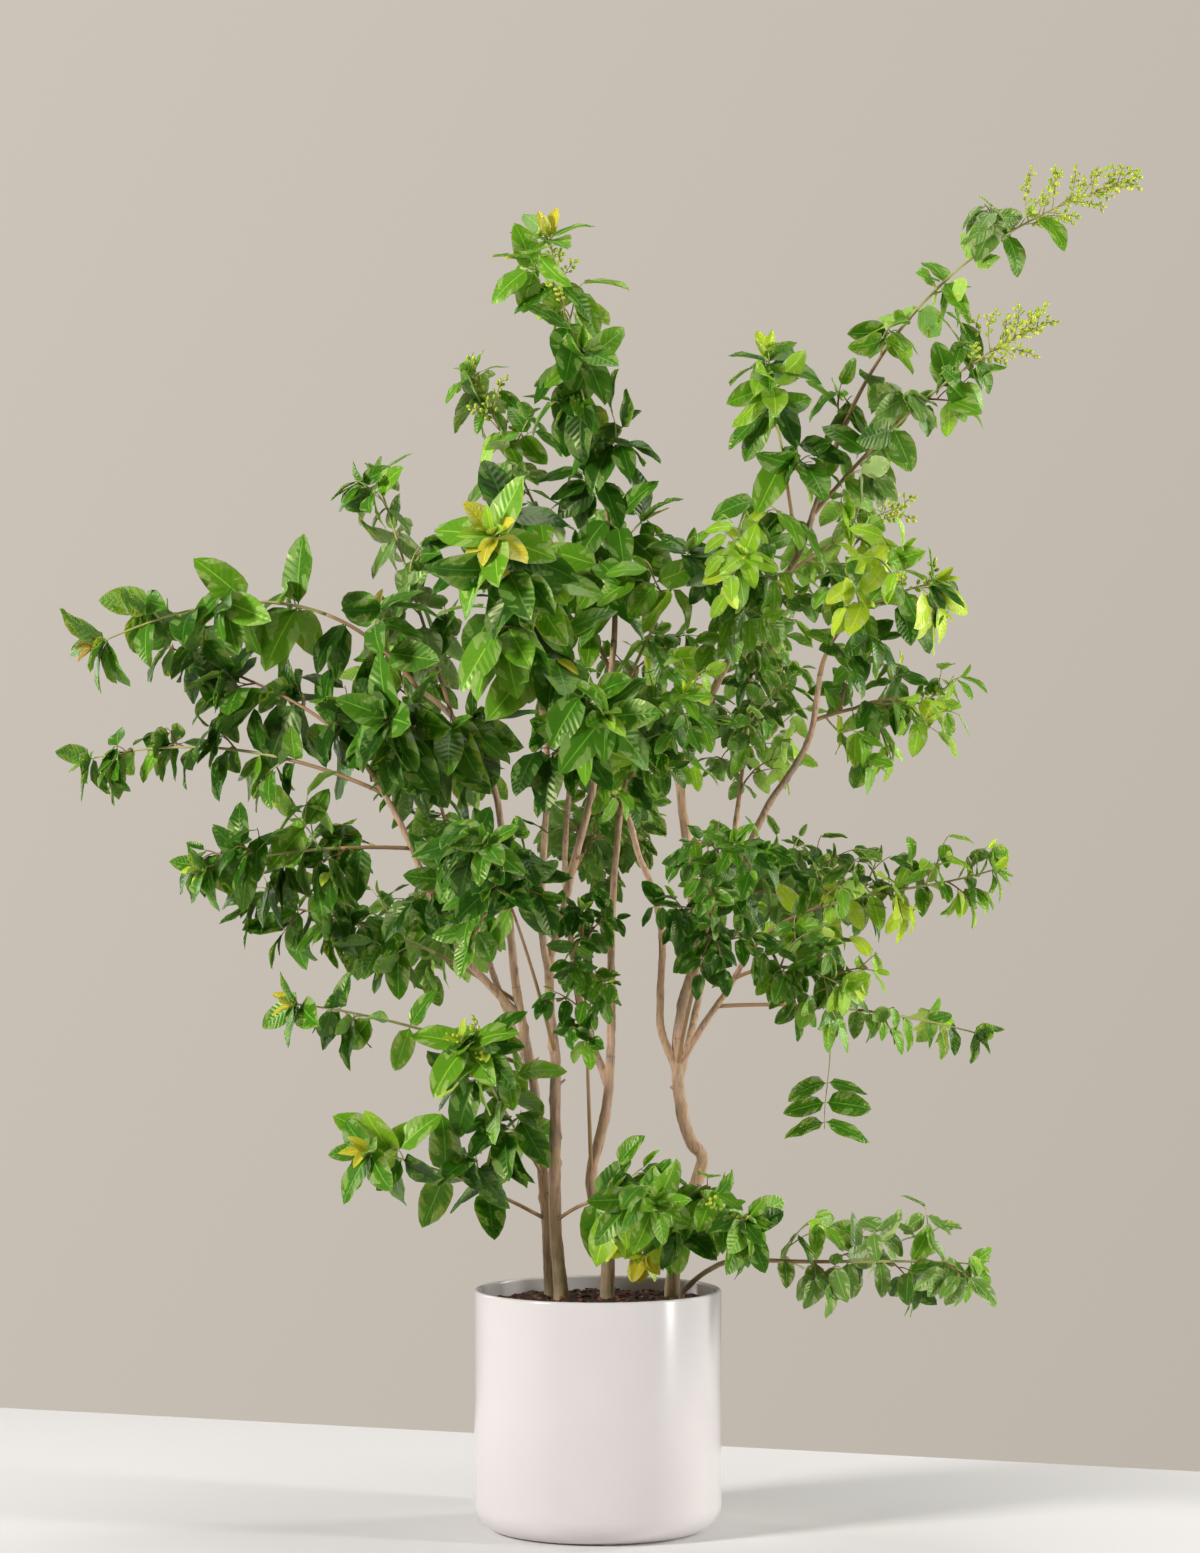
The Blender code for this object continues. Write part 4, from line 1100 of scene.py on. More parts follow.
@dataclass(frozen=True)
class LeafShape:
    """The grid of one leaf: a pointed oval with a raised midrib and a paler underside.

    At v from 0 at the root to 1 at the tip and u from -1 to 1 across, half the width is
    w(v) = wide / 2 v^a (1 - v)^b scaled to 1 at its widest, and the blade follows an arc. Each
    row of the grid ends with the middle of the underside.
    """

    stations: tuple = (0.06, 0.15, 0.28, 0.43, 0.60, 0.77, 0.91)
    across: tuple = (-1.0, -0.52, -0.045, 0.045, 0.52, 1.0)
    raised: tuple = (0, 0, 1, 1, 0, 0, -1)
    root_power: float = 0.58
    tip_power: float = 0.78
    thickness: float = 0.00040
    wave_height: float = 0.045
    wave_turns: float = 11
    stalk_end: float = 0.1
    stalk_half_width: float = 0.020

    def points(self, rows: Array) -> tuple[Array, Array]:
        """Every point of every leaf.

        In a leaf's own frame x = u w(v), z = L sin(c v) / c and y = -L (1 - cos(c v)) / c
        + fold |u| w + wave, with c its bend, all turned by its twist times v about its length.

        Args:
            rows: The leaves, one in each row, as MassGrower.add_leaf lists them.

        Returns:
            Points as leaves x points x 3, and their places on the blade as leaves x points x 2.
        """
        root, along, face = rows[:, 0:3], unit(rows[:, 3:6]), rows[:, 6:9]
        length = rows[:, 9][:, None, None]
        bend, fold, twist, wave, wide = rows[:, 11:16].T[..., None, None]
        normal = unit(face - along * np.einsum("nk,nk->n", face, along)[:, None])
        side = np.cross(normal, along)
        count = len(rows)
        v = np.array(self.stations)[None, :, None]
        u = np.array([*self.across, 0.0])[None, None, :]
        a, b = self.root_power, self.tip_power
        peak = (a / (a + b)) ** a * (b / (a + b)) ** b
        half = wide / 2 * v**a * (1 - v) ** b / peak
        half = np.where(v < self.stalk_end, self.stalk_half_width, half)
        across = u * half
        wave = self.wave_height * wide * np.sin(self.wave_turns * v + wave)
        lift = fold * np.abs(across) + wave * u**2
        raised = np.array(self.raised) * self.thickness
        y = -(1 - np.cos(bend * v)) / bend + lift * np.cos(bend * v)
        z = np.sin(bend * v) / bend + lift * np.sin(bend * v)
        x = across * np.cos(twist * v) - lift * np.sin(twist * v)
        y = y + across * np.sin(twist * v)
        grid = np.broadcast_arrays(x * length, y * length + raised, z * length)
        arc = bend[:, 0, 0]
        tip = np.stack([0 * arc, -(1 - np.cos(arc)) / arc, np.sin(arc) / arc], axis=-1)
        local = np.concatenate([np.stack(grid, axis=-1).reshape(count, -1, 3),
                                np.zeros((count, 1, 3)), (tip * length[:, 0])[:, None]], axis=1)
        spots = np.stack(np.broadcast_arrays(across + 0.5, v), axis=-1).reshape(count, -1, 2)
        ends = np.broadcast_to(np.array([[0.5, 0.0], [0.5, 1.0]]), (count, 2, 2))
        axes = np.stack([side, normal, along], axis=1)
        placed = root[:, None, :] + np.einsum("npk,nkj->npj", local, axes)
        return placed, np.concatenate([spots, ends], axis=1)

    def faces(self) -> tuple[list[Array], list[Array], Array]:
        """Faces of one leaf, their kinds (0 upper side, 1 midrib, 2 underside) and sharp rim."""
        wide = len(self.across)
        last, middle, row = wide - 1, wide, wide + 1
        rows = len(self.stations)
        root, tip, top_row = rows * row, rows * row + 1, (rows - 1) * row
        station, column = np.meshgrid(np.arange(rows - 1), np.arange(wide - 1), indexing="ij")
        here = (station * row + column).ravel()
        upper = np.stack([here, here + row, here + row + 1, here + 1], axis=-1)
        start = np.arange(rows - 1) * row
        above = start + row
        under = np.concatenate([
            np.stack([start, start + middle, above + middle, above], axis=-1),
            np.stack([start + middle, start + last, above + last, above + middle], axis=-1),
        ])
        columns = np.arange(wide - 1)
        top = top_row + columns
        root_top = np.stack([np.full(wide - 1, root), columns, columns + 1], axis=-1)
        tip_top = np.stack([np.full(wide - 1, tip), top + 1, top], axis=-1)
        root_under = np.array([[root, middle, 0], [root, last, middle]])
        tip_under = np.array([[tip, top_row, top_row + middle],
                              [tip, top_row + middle, top_row + last]])
        faces = [upper, under, root_top, tip_top, root_under, tip_under]
        rib = wide // 2 - 1
        upper_kind, end_kind = (column.ravel() == rib).astype(int), (columns == rib).astype(int)
        kinds = [upper_kind, np.full(len(under), 2), end_kind, end_kind,
                 np.full(2, 2), np.full(2, 2)]
        left = np.concatenate([[root], np.arange(rows) * row, [tip]])
        right = np.concatenate([[root], np.arange(rows) * row + last, [tip]])
        sharp = [np.stack([rim[:-1], rim[1:]], axis=-1) for rim in (left, right)]
        return faces, kinds, np.concatenate(sharp)

    def add_to(self, surface: Surface, rows: Array) -> None:
        """Adds many leaves to a surface, each face with its leaf's tint.

        Args:
            surface: Where they go.
            rows: The leaves, as for points.
        """
        points, spots = self.points(rows)
        copies, count = points.shape[:2]
        faces, kinds, sharp = self.faces()
        tint = rows[:, 10].astype(int)[:, None]
        surface.add(
            points.reshape(-1, 3),
            [for_copies(face, copies, count) for face in faces],
            [(tint * 3 + kind[None]).ravel() for kind in kinds],
            for_copies(sharp, copies, count),
            spots.reshape(-1, 2),
        )


@dataclass
class Growth:
    """What all masses share: the limbs to stay clear of, and what has grown so far.

    The heights and radii bound the room round the pot's wall and the potting mix, with a margin.
    Leaf middles are listed by cubes of the cell's size, and a limb is tested by spans of so many
    of its points.
    """

    limbs: StemsAndBoughs
    wall_top: float = 0.328
    wall_inside: float = 0.148
    wall_outside: float = 0.175
    soil_top: float = 0.314
    soil_radius: float = 0.150
    cell: float = 0.02
    span_points: int = 5
    leaves: dict[str, list[tuple]] = field(default_factory=dict)
    wood: Surface = field(default_factory=Surface)
    shoots: Surface = field(default_factory=Surface)
    buds: list[tuple] = field(default_factory=list)
    taken: dict[tuple, list[Array]] = field(default_factory=dict)
    limb_feet: Array = field(default_factory=lambda: np.empty((0, 3)))
    limb_spans: Array = field(default_factory=lambda: np.empty((0, 3)))
    limb_radii: Array = field(default_factory=lambda: np.empty(0))

    def gather_limbs(self) -> None:
        """Gathers every limb's spans, so that one test covers them all."""
        every = self.span_points
        paths = {name: path[::every] for name, path in self.limbs.paths.items()}
        self.limb_feet = np.concatenate([path[:-1] for path in paths.values()])
        self.limb_spans = np.concatenate([np.diff(path, axis=0) for path in paths.values()])
        radii = [self.limbs.radii[name][::every][:-1] for name in paths]
        self.limb_radii = np.concatenate(radii)

    def free(self, points: Array, spare: float) -> bool:
        """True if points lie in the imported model's box, clear of limbs, pot and soil.

        Args:
            points: The points, one in each row.
            spare: The room kept from a limb's surface.

        Returns:
            Whether all of them do.
        """
        if (points < np.array(CAD_LOW)).any() or (points > np.array(CAD_HIGH)).any():
            return False
        far, high = np.hypot(points[:, 0], points[:, 1]), points[:, 2]
        in_wall = (high < self.wall_top) & (far > self.wall_inside) & (far < self.wall_outside)
        in_soil = (high < self.soil_top) & (far <= self.soil_radius)
        if (in_wall | in_soil).any():
            return False
        gaps = gaps_to_spans(points, self.limb_feet, self.limb_spans)
        return bool((gaps > self.limb_radii + spare).all())

    def claim(self, centre: Array, gap: float) -> bool:
        """Takes a place for a leaf's middle, unless another one is too close.

        Args:
            centre: The leaf's middle.
            gap: The least distance to the middles that are there.

        Returns:
            Whether the place was free.
        """
        x, y, z = (int(c // self.cell) for c in centre)
        for dx, dy, dz in product((-1, 0, 1), repeat=3):
            near = self.taken.get((x + dx, y + dy, z + dz), ())
            if any(np.linalg.norm(centre - other) < gap for other in near):
                return False
        self.taken.setdefault((x, y, z), []).append(centre)
        return True


@dataclass(frozen=True)
class LeafHabit:
    """The ranges of a leaf's bend, fold and width, and the room round its middle by its length."""

    bend: tuple[float, float]
    fold: tuple[float, float]
    wide: tuple[float, float]
    room: float


GROWN = LeafHabit((0.15, 0.85), (0.02, 0.28), (0.45, 0.58), 0.19)
YOUNG = LeafHabit((0.1, 0.5), (0.3, 0.7), (0.34, 0.44), 0.05)


@dataclass
class MassGrower:
    """Grows one mass by its seeded rule: side and finer twigs, leaf pairs and flower buds.

    Lengths are in metres, and leans and rolls in degrees. A share is a part of a leaf's or a
    path's length, or a weight between two directions.
    """

    growth: Growth
    name: str
    mass: Mass
    # main stem
    lead: float = 0.33
    seated_lead: float = 0.28
    seated_turn: float = 0.05
    stem_points: float = 0.012
    main_foot_radius: float = 0.0029
    main_tip_radius: float = 0.0011
    woody_share: float = 0.6
    green_woody_share: float = 0.35
    # twigs
    twig_foot_radius: float = 0.0016
    twig_tip_radius: float = 0.0007
    twig_lean: float = 52
    twig_rise: float = 0.012
    twig_bow: float = 0.10
    twig_room: float = 0.55
    green_twigs: float = 0.6
    young_twigs: float = 0.4
    finer_at: tuple = (0.30, 0.65)
    finer_lean: float = 50
    room_at_twig: float = 0.002
    # leaves
    leaf_probes: tuple = (0.3, 0.55, 0.8, 1.0)
    leaf_shrinks: tuple = (1.0, 0.84, 0.70)
    reach_slack: float = 1.04
    room_at_leaf: float = 0.003
    leaf_spacing: float = 0.72
    upright: float = 0.80
    upright_droop: float = 0.45
    leaves_end: float = 0.94
    front_half: float = 0.12
    # whorl at a tip
    inner_lean: float = 14
    newest_from: float = 0.7
    newest_size: float = 0.52
    inner_shrink: float = 0.32
    whorl_droop: float = 0.55
    # shoot that hangs
    hanging_at: float = 0.42
    hanging_pairs: tuple = (0.62, 0.78, 0.94)
    hanging_leaf: float = 0.062
    # flowers
    long_panicle: int = 6
    panicle_reach: float = 0.28
    panicle_branch: float = 0.064
    bud_spacing: float = 0.0036
    bud_radius: float = 0.0027
    stalk_radius: float = 0.0004

    def __post_init__(self) -> None:
        """Seeds the mass's numbers and lays its main stem."""
        self.rng = random.Random(self.name)
        self.spine = self.main_path()
        self.stems = [self.spine]
        self.green = self.mass.mood is not Mood.INNER
        self.flowers_long = self.mass.panicle >= self.long_panicle
        self.growth.leaves[self.name] = []

    def main_path(self) -> Array:
        """A mass's main stem: out of its limb along the limb's own run, then over to its tip.

        It is a cubic Bezier curve: start (1-t)^3 + first 3t(1-t)^2 + second 3t^2(1-t) + tip t^3.
        """
        mass = self.mass
        start, along = place_along(self.growth.limbs.paths[mass.grows_from], mass.at)
        tip = np.array(mass.tip)
        chord = tip - start
        rise = np.array([0, 0, mass.arch * 4 / 3])
        lead = chord * self.lead
        if mass.at >= 1:
            lead = along * np.linalg.norm(chord) * self.seated_lead + chord * self.seated_turn
        first, second = start + lead + rise, tip - chord * self.lead + rise
        t = np.linspace(0, 1, 41)[:, None]
        path = (start * (1 - t) ** 3 + first * 3 * t * (1 - t) ** 2
                + second * 3 * t**2 * (1 - t) + tip * t**3)
        return resampled(path, self.stem_points)

    def pick_tint(self, outer: float) -> Tint:
        """A tint for a spray, by the mood's shares at its place from foot to tip: mostly darker at
        the foot as painted shade and lighter at the tip as painted light.
        """
        names, foot_shares, tip_shares = zip(*self.mass.mood.value)
        shares = [foot + (tip - foot) * outer for foot, tip in zip(foot_shares, tip_shares)]
        return Tint[self.rng.choices(names, shares)[0]]

    def jitter(self, size: float) -> Array:
        """A small random vector."""
        return np.array([self.rng.uniform(-size, size) for _ in range(3)])

    def outwards(self, place: Array) -> Array:
        """The level direction out of the crown; what stands in its front half looks forwards."""
        return unit(np.array([place[0] * 0.7, place[1] - self.front_half, 0.0]))

    def add_leaf(self, root: Array, along: Array, face: Array, length: float, tint: Tint,
                 habit: LeafHabit = GROWN) -> None:
        """Adds a leaf, smaller where it would leave the mass's space, unless none fits.

        Args:
            root: Where the leaf leaves its twig.
            along: Its direction.
            face: Roughly where its upper side looks.
            length: Its length in metres.
            tint: Its tint.
            habit: How much it bends and folds, how wide it is and the room it takes.
        """
        rng = self.rng
        size = length * rng.uniform(0.82, 1.12)
        bend, fold, wide = (rng.uniform(*limits) for limits in (habit.bend, habit.fold, habit.wide))
        twist = rng.uniform(-0.45, 0.45)
        wave = rng.uniform(0, 2 * pi)
        along = unit(along)
        sunk = unit(along - unit(face) * 0.4 * bend)
        for shrink in self.leaf_shrinks:
            points = root + np.array(self.leaf_probes)[:, None] * size * shrink * sunk
            gap = min(gap_to_path(points[-1], stem) for stem in self.stems)
            fits = gap <= self.mass.reach * self.reach_slack
            if fits and self.growth.free(points, self.room_at_leaf):
                break
        else:
            return
        size *= shrink
        if self.growth.claim(points[1], size * habit.room):
            self.growth.leaves[self.name].append(
                (*root, *along, *face, size, list(Tint).index(tint), bend, fold, twist, wave, wide))

    def dress(self, path: Array, start: float, end: float, length: float, tint: Tint) -> None:
        """Leaf pairs along a stem.

        On an upright stem each pair stands across the last one. On a spreading stem all pairs
        lie in one plane, rolled about the stem, whose face looks out of the crown. The leaves
        droop, so that their tips point outwards and down.

        Args:
            path: The stem or twig to dress.
            start: The share of its length where leaves begin.
            end: The share where the last pair stands.
            length: The length of a grown leaf.
            tint: The spray's tint.
        """
        rng = self.rng
        total = lengths_along(path)[-1]
        pairs = max(round(total * (end - start) / (length * self.leaf_spacing)), 1)
        roll = rng.choice((-1, 1)) * radians(rng.uniform(15, 90))
        for index in range(pairs):
            t = start + (end - start) * (index + 0.5) / pairs
            root, along = place_along(path, t)
            side = level_side(along)
            up = unit(np.cross(along, side))
            outer = self.outwards(root)
            upright = along[2] > self.upright
            turn = roll + rng.uniform(-0.3, 0.3) + (index * pi / 2 if upright else 0.0)
            across = side * cos(turn) + up * sin(turn)
            normal = np.cross(across, along)
            normal = normal * (1 if normal @ (outer + (0, 0, 0.3)) > 0 else -1)
            size = length * (1 - 0.35 * t**5)
            for way in (-1, 1):
                extra = self.upright_droop if upright else 0.0
                droop = np.array([0, 0, -rng.uniform(0.15, 1.0) - extra])
                lean = along * rng.uniform(0.10, 0.50)
                leans_out = across * way * 0.85
                if upright:
                    face = leans_out * 0.5 + outer * 0.5 + (0, 0, 0.7)
                else:
                    face = normal * 0.75 + outer * 0.55 + (0, 0, 0.30)
                self.add_leaf(root, leans_out + lean + droop, face + self.jitter(0.45), size,
                              tint.varied(rng))

    def close_tip(self, path: Array, length: float, tint: Tint, young: Tint, count: int,
                  wide: float, axis: Array | None = None) -> None:
        """A whorl at a stem's tip: leaves that get smaller, steeper and younger inwards.

        Args:
            path: The stem.
            length: The length of a grown leaf.
            tint: The tint of its outer leaves.
            young: The tint of its inner leaves.
            count: How many leaves it has.
            wide: The outermost leaf's lean out of the axis in degrees.
            axis: The way it opens, if it isn't the stem's own.
        """
        rng = self.rng
        tip, along = place_along(path, 1.0)
        axis = along if axis is None else unit(axis)
        first = rng.uniform(0, 2 * pi)
        for index in range(count):
            inner = index / max(count - 1, 1)
            lean = wide - (wide - self.inner_lean) * inner
            spread = self.out_of(axis, first + GOLDEN_TURN * index, lean)
            face = axis * 0.6 + self.outwards(tip) * 0.4 + (0, 0, 0.35) + self.jitter(0.25)
            newest = inner > self.newest_from
            size = self.newest_size if newest else 1.0 - self.inner_shrink * inner
            self.add_leaf(tip - axis * 0.004 * (1 - inner),
                          spread + (0, 0, -self.whorl_droop * (1 - inner)), face, length * size,
                          young if newest else tint, YOUNG if newest else GROWN)

    def twig_path(self, foot: Array, way: Array, length: float) -> Array:
        """A side twig that rises a little and then hangs: foot + way s + rise - sag s^2 + bow.

        Args:
            foot: Where it leaves its stem.
            way: Its direction there.
            length: Its length in metres.

        Returns:
            Its points.
        """
        s = np.linspace(0, 1, 7)[:, None]
        rise = np.array([0, 0, self.twig_rise]) * np.sin(s * pi / 2)
        sag = np.array([0, 0, self.rng.uniform(0.05, 0.28) * length]) * s**2
        bow = self.jitter(self.twig_bow) * length * s * (1 - s) * 4
        return foot + way * length * s + rise - sag + bow

    def out_of(self, along: Array, turn: float, lean: float) -> Array:
        """A direction that leans out of a stem by so many degrees, turned about it."""
        side = level_side(along)
        up = unit(np.cross(along, side))
        out = side * cos(turn) + up * sin(turn)
        return along * cos(radians(lean)) + out * sin(radians(lean))

    def add_shoot(self, path: Array, thick: float, thin: float, sides: int, kind: int) -> None:
        """Adds a tapering tube to the fine twigs.

        Args:
            path: Its middle line.
            thick: Its radius at the foot.
            thin: Its radius at the tip.
            sides: How many points go round it.
            kind: 0 for red-brown, 1 for yellow-green, 2 for a flower stalk.
        """
        add_tube(self.growth.shoots, path, np.linspace(thick, thin, len(path)), sides, kind)

    def branch(self) -> None:
        """Side twigs, each a golden turn on from the last, that carry finer twigs."""
        rng, mass = self.rng, self.mass
        thin = self.twig_tip_radius
        first_turn = rng.uniform(0, 2 * pi)
        room = mass.reach - self.twig_room * mass.leaf
        last = 0.74 if self.flowers_long else self.leaves_end
        for index in range(mass.twigs):
            t = mass.bare + (last - mass.bare) * (index + 0.5) / mass.twigs
            foot, along = place_along(self.spine, t)
            way = self.out_of(along, first_turn + GOLDEN_TURN * index, self.twig_lean)
            length = room * rng.uniform(0.78, 1.08) * (1 - 0.3 * t)
            path = self.twig_path(foot, way, length)
            kind = 1 if self.green and rng.random() < self.green_twigs else 0
            if not self.growth.free(path[2:], self.room_at_twig):
                continue
            self.add_shoot(path, self.twig_foot_radius, thin, 6, kind)
            tint = self.pick_tint(t)
            tip_tint = mass.young if rng.random() < self.young_twigs else tint
            self.dress(path, 0.20, 0.95, mass.leaf * 0.92, tint)
            self.close_tip(path, mass.leaf * 0.85, tint, tip_tint, 2, 30)
            for at in self.finer_at:
                foot, along = place_along(path, at)
                way = self.out_of(along, rng.uniform(0, 2 * pi), self.finer_lean)
                finer = self.twig_path(foot, way, length * rng.uniform(0.45, 0.75))
                if self.growth.free(finer[2:], self.room_at_twig):
                    self.add_shoot(finer, thin * 1.4, thin * 0.8, 5, kind)
                    self.dress(finer, 0.35, 0.95, mass.leaf * 0.85, tint)
                    self.close_tip(finer, mass.leaf * 0.78, tint, tip_tint, 1, 20)

    def flower(self) -> None:
        """A panicle: branches round the last stretch of the shoot, set with small round buds."""
        rng, count = self.rng, self.mass.panicle
        if not count:
            return
        start = 1 - self.panicle_reach
        share = lengths_along(self.spine) / lengths_along(self.spine)[-1]
        self.set_buds(self.spine[share >= start], 0.35)
        for index in range(count):
            u = (index + 0.5) / count
            foot, along = place_along(self.spine, start + self.panicle_reach * u)
            way = self.out_of(along, GOLDEN_TURN * index, 62 - 25 * u)
            length = self.panicle_branch * (1 - 0.62 * u) * rng.uniform(0.75, 1.15)
            path = self.twig_path(foot, unit(way + (0, 0, 0.25)), length)
            if self.growth.free(path, self.room_at_twig):
                self.add_shoot(path, 0.0009, 0.0005, 5, 2)
                self.set_buds(path, 0.30)

    def set_buds(self, path: Array, start: float) -> None:
        """Buds along a flower stalk, a golden turn apart and closer towards its tip.

        Args:
            path: The stalk.
            start: The share of its length where they begin.
        """
        rng = self.rng
        total = lengths_along(path)[-1]
        count = max(int(total * (1 - start) / self.bud_spacing), 3)
        for index in range(count):
            t = start + (1 - start) * ((index + 0.5) / count) ** 0.8
            root, run = place_along(path, t)
            out = self.out_of(run, GOLDEN_TURN * index, 50 if index < count - 1 else 0)
            size = self.bud_radius * rng.uniform(0.75, 1.2)
            tip = root + out * (size + rng.uniform(0.001, 0.007))
            if self.growth.free(np.array([tip + size * 1.5, tip - size * 1.5]), 0.0):
                self.growth.buds.append((*tip, *out, size))
                stalk = root + (tip - root) * np.linspace(0, 1, 3)[:, None]
                self.add_shoot(stalk, self.stalk_radius, self.stalk_radius, 4, 2)

    def hang_shoot(self) -> None:
        """A thin shoot that hangs straight down, with leaf pairs that spread to both sides."""
        foot, _ = place_along(self.spine, self.hanging_at)
        s = np.linspace(0, 1, 12)[:, None]
        sway = np.array([0.004, 0, 0]) * np.sin(5 * s)
        path = foot - np.array([0, 0, self.mass.hanging]) * s + sway
        self.stems.append(path)
        self.add_shoot(path, 0.0011, 0.0006, 6, 1)
        for fraction in self.hanging_pairs:
            root, _ = place_along(path, fraction)
            for way in (-1, 1):
                along = np.array([way, 0.0, -self.rng.uniform(0.05, 0.35)])
                face = np.array([0.0, -0.8, 0.75]) + self.jitter(0.2)
                self.add_leaf(root, along, face, self.hanging_leaf, Tint.MID)

    def grow_stem(self) -> None:
        """The main stem: woody from its limb, then a shoot of this year."""
        mass, spine = self.mass, self.spine
        foot_radius = self.main_foot_radius
        if mass.at >= 1:
            foot_radius = float(self.growth.limbs.radii[mass.grows_from][-1])
        radii = np.interp(np.linspace(0, 1, len(spine)), (0, 0.25, 1),
                          (foot_radius, self.main_foot_radius * 0.85, self.main_tip_radius))
        share = self.green_woody_share if self.green else self.woody_share
        woody = max(int(len(spine) * share), 3)
        add_tube(self.growth.wood, spine[: woody + 1], radii[: woody + 1], 8, 0)
        add_tube(self.growth.shoots, spine[woody:], radii[woody:], 8, int(self.green))

    def grow(self) -> None:
        """Grows the mass: its stem, hanging shoot, panicle, whorls, leaf pairs and twigs."""
        mass, spine = self.mass, self.spine
        self.grow_stem()
        if mass.hanging:
            self.hang_shoot()
        self.flower()
        if mass.mood is Mood.NEW:
            opens = self.outwards(spine[-1]) + (0, 0, 0.55)
            self.close_tip(spine, mass.leaf * 0.66, mass.young, mass.young, 7, 66, opens)
            self.close_tip(spine, mass.leaf, Tint.FRESH, Tint.BRIGHT, 8, 98, opens)
        elif not self.flowers_long:
            self.close_tip(spine, mass.leaf * 0.95, self.pick_tint(1.0), mass.young, 9, 78)
        ends = np.linspace(mass.bare, 0.82 if self.flowers_long else self.leaves_end, 4)
        for start, end in zip(ends, ends[1:]):
            self.dress(spine, start, end, mass.leaf, self.pick_tint(end))
        self.branch()


@dataclass
class Crown:
    """All masses of foliage, joined by kind: leaves in four pieces, wood, twigs and buds."""

    limbs: StemsAndBoughs
    leaf_shape: LeafShape = field(default_factory=LeafShape)
    places: dict[str, str] = field(default_factory=lambda: {
        "left": "left", "right": "right", "back": "back", "low": "right", "base": "right"})
    bud_rings: int = 4
    bud_sides: int = 6
    bud_length: float = 1.4
    bud_roughness: float = 0.42

    def build_leaves(self, growth: Growth) -> None:
        """Makes the leaves as pieces by their place in the crown.

        Args:
            growth: What has grown.
        """
        materials = []
        for tint in Tint:
            upper, under, rib = tint.value
            word = tint.name.lower()
            for finish in (LeafFinish(f"waxy leaf, upper side, {word}", upper, 0.32, 0.14),
                           LeafFinish(f"leaf midrib, {word}", rib, 0.45, 0.0),
                           LeafFinish(f"matt leaf, underside, {word}", under, 0.60, 0.22)):
                materials.append(finish.make())
        groups: dict[str, list[str]] = {}
        for name in MASSES:
            groups.setdefault(self.places.get(name.split("_")[1], "centre"), []).append(name)
        for place, names in groups.items():
            surface = Surface()
            rows = [row for name in names for row in growth.leaves[name]]
            self.leaf_shape.add_to(surface, np.array(rows))
            surface.build(f"leaves_{place}", materials, "foliage", names)
            LOG.info("leaves_%s: %d leaves", place, len(rows))

    def build_buds(self, growth: Growth) -> None:
        """Makes the flower buds: small spheres drawn out towards their tips.

        A point is centre + r (side cos(a) + up sin(a)) sin(b) + length r out cos(b).

        Args:
            growth: What has grown.
        """
        rows = np.array(growth.buds)
        centre, out, size = rows[:, 0:3], unit(rows[:, 3:6]), rows[:, 6]
        axis = np.where(np.abs(out[:, 2:3]) < 0.8, [[0.0, 0.0, 1.0]], [[1.0, 0.0, 0.0]])
        side = unit(np.cross(axis, out))
        axes = np.stack([side, np.cross(out, side), out], axis=1)
        b = (np.arange(1, self.bud_rings) * pi / self.bud_rings)[:, None]
        a = full_turn(self.bud_sides)[None, :]
        ball = np.sin(b) * np.cos(a), np.sin(b) * np.sin(a), self.bud_length * np.cos(b)
        local = np.vstack([np.stack(np.broadcast_arrays(*ball), -1).reshape(-1, 3),
                           [0, 0, self.bud_length], [0, 0, -self.bud_length]])
        points = centre[:, None] + np.einsum("pk,nkj->npj", local, axes) * size[:, None, None]
        faces = closed_faces(self.bud_rings - 1, self.bud_sides, flipped=True)
        # every third bud is yellow
        yellow = (np.arange(len(rows)) % 3 == 0).astype(int)
        surface = Surface()
        surface.add(points.reshape(-1, 3),
                    [for_copies(face, len(rows), len(local)) for face in faces],
                    [np.repeat(yellow, len(face)) for face in faces])
        finishes = (ShootFinish("crape myrtle flower bud, green", "#B0C83C", self.bud_roughness),
                    ShootFinish("crape myrtle flower bud, yellow", "#D4DA4C", self.bud_roughness))
        nodes = [name for name, mass in MASSES.items() if mass.panicle]
        surface.build("flower_buds", [finish.make() for finish in finishes], "foliage", nodes)

    def build(self) -> None:
        """Grows every mass and builds the pieces."""
        growth = Growth(self.limbs)
        growth.gather_limbs()
        for name, mass in MASSES.items():
            MassGrower(growth, name, mass).grow()
        self.build_leaves(growth)
        wood = [ShootFinish("woody twig, light brown", "#A5835C", 0.7).make()]
        growth.wood.build("main_stems_of_foliage", wood, "foliage", list(MASSES))
        shoots = [ShootFinish("young twig, red-brown", "#8C6044").make(),
                  ShootFinish("young twig, yellow-green", "#B2AE6A").make(),
                  ShootFinish("flower stalk, pale yellow-green", "#A8A050").make()]
        growth.shoots.build("fine_twigs", shoots, "foliage", list(MASSES))
        self.build_buds(growth)


# Pot and soil


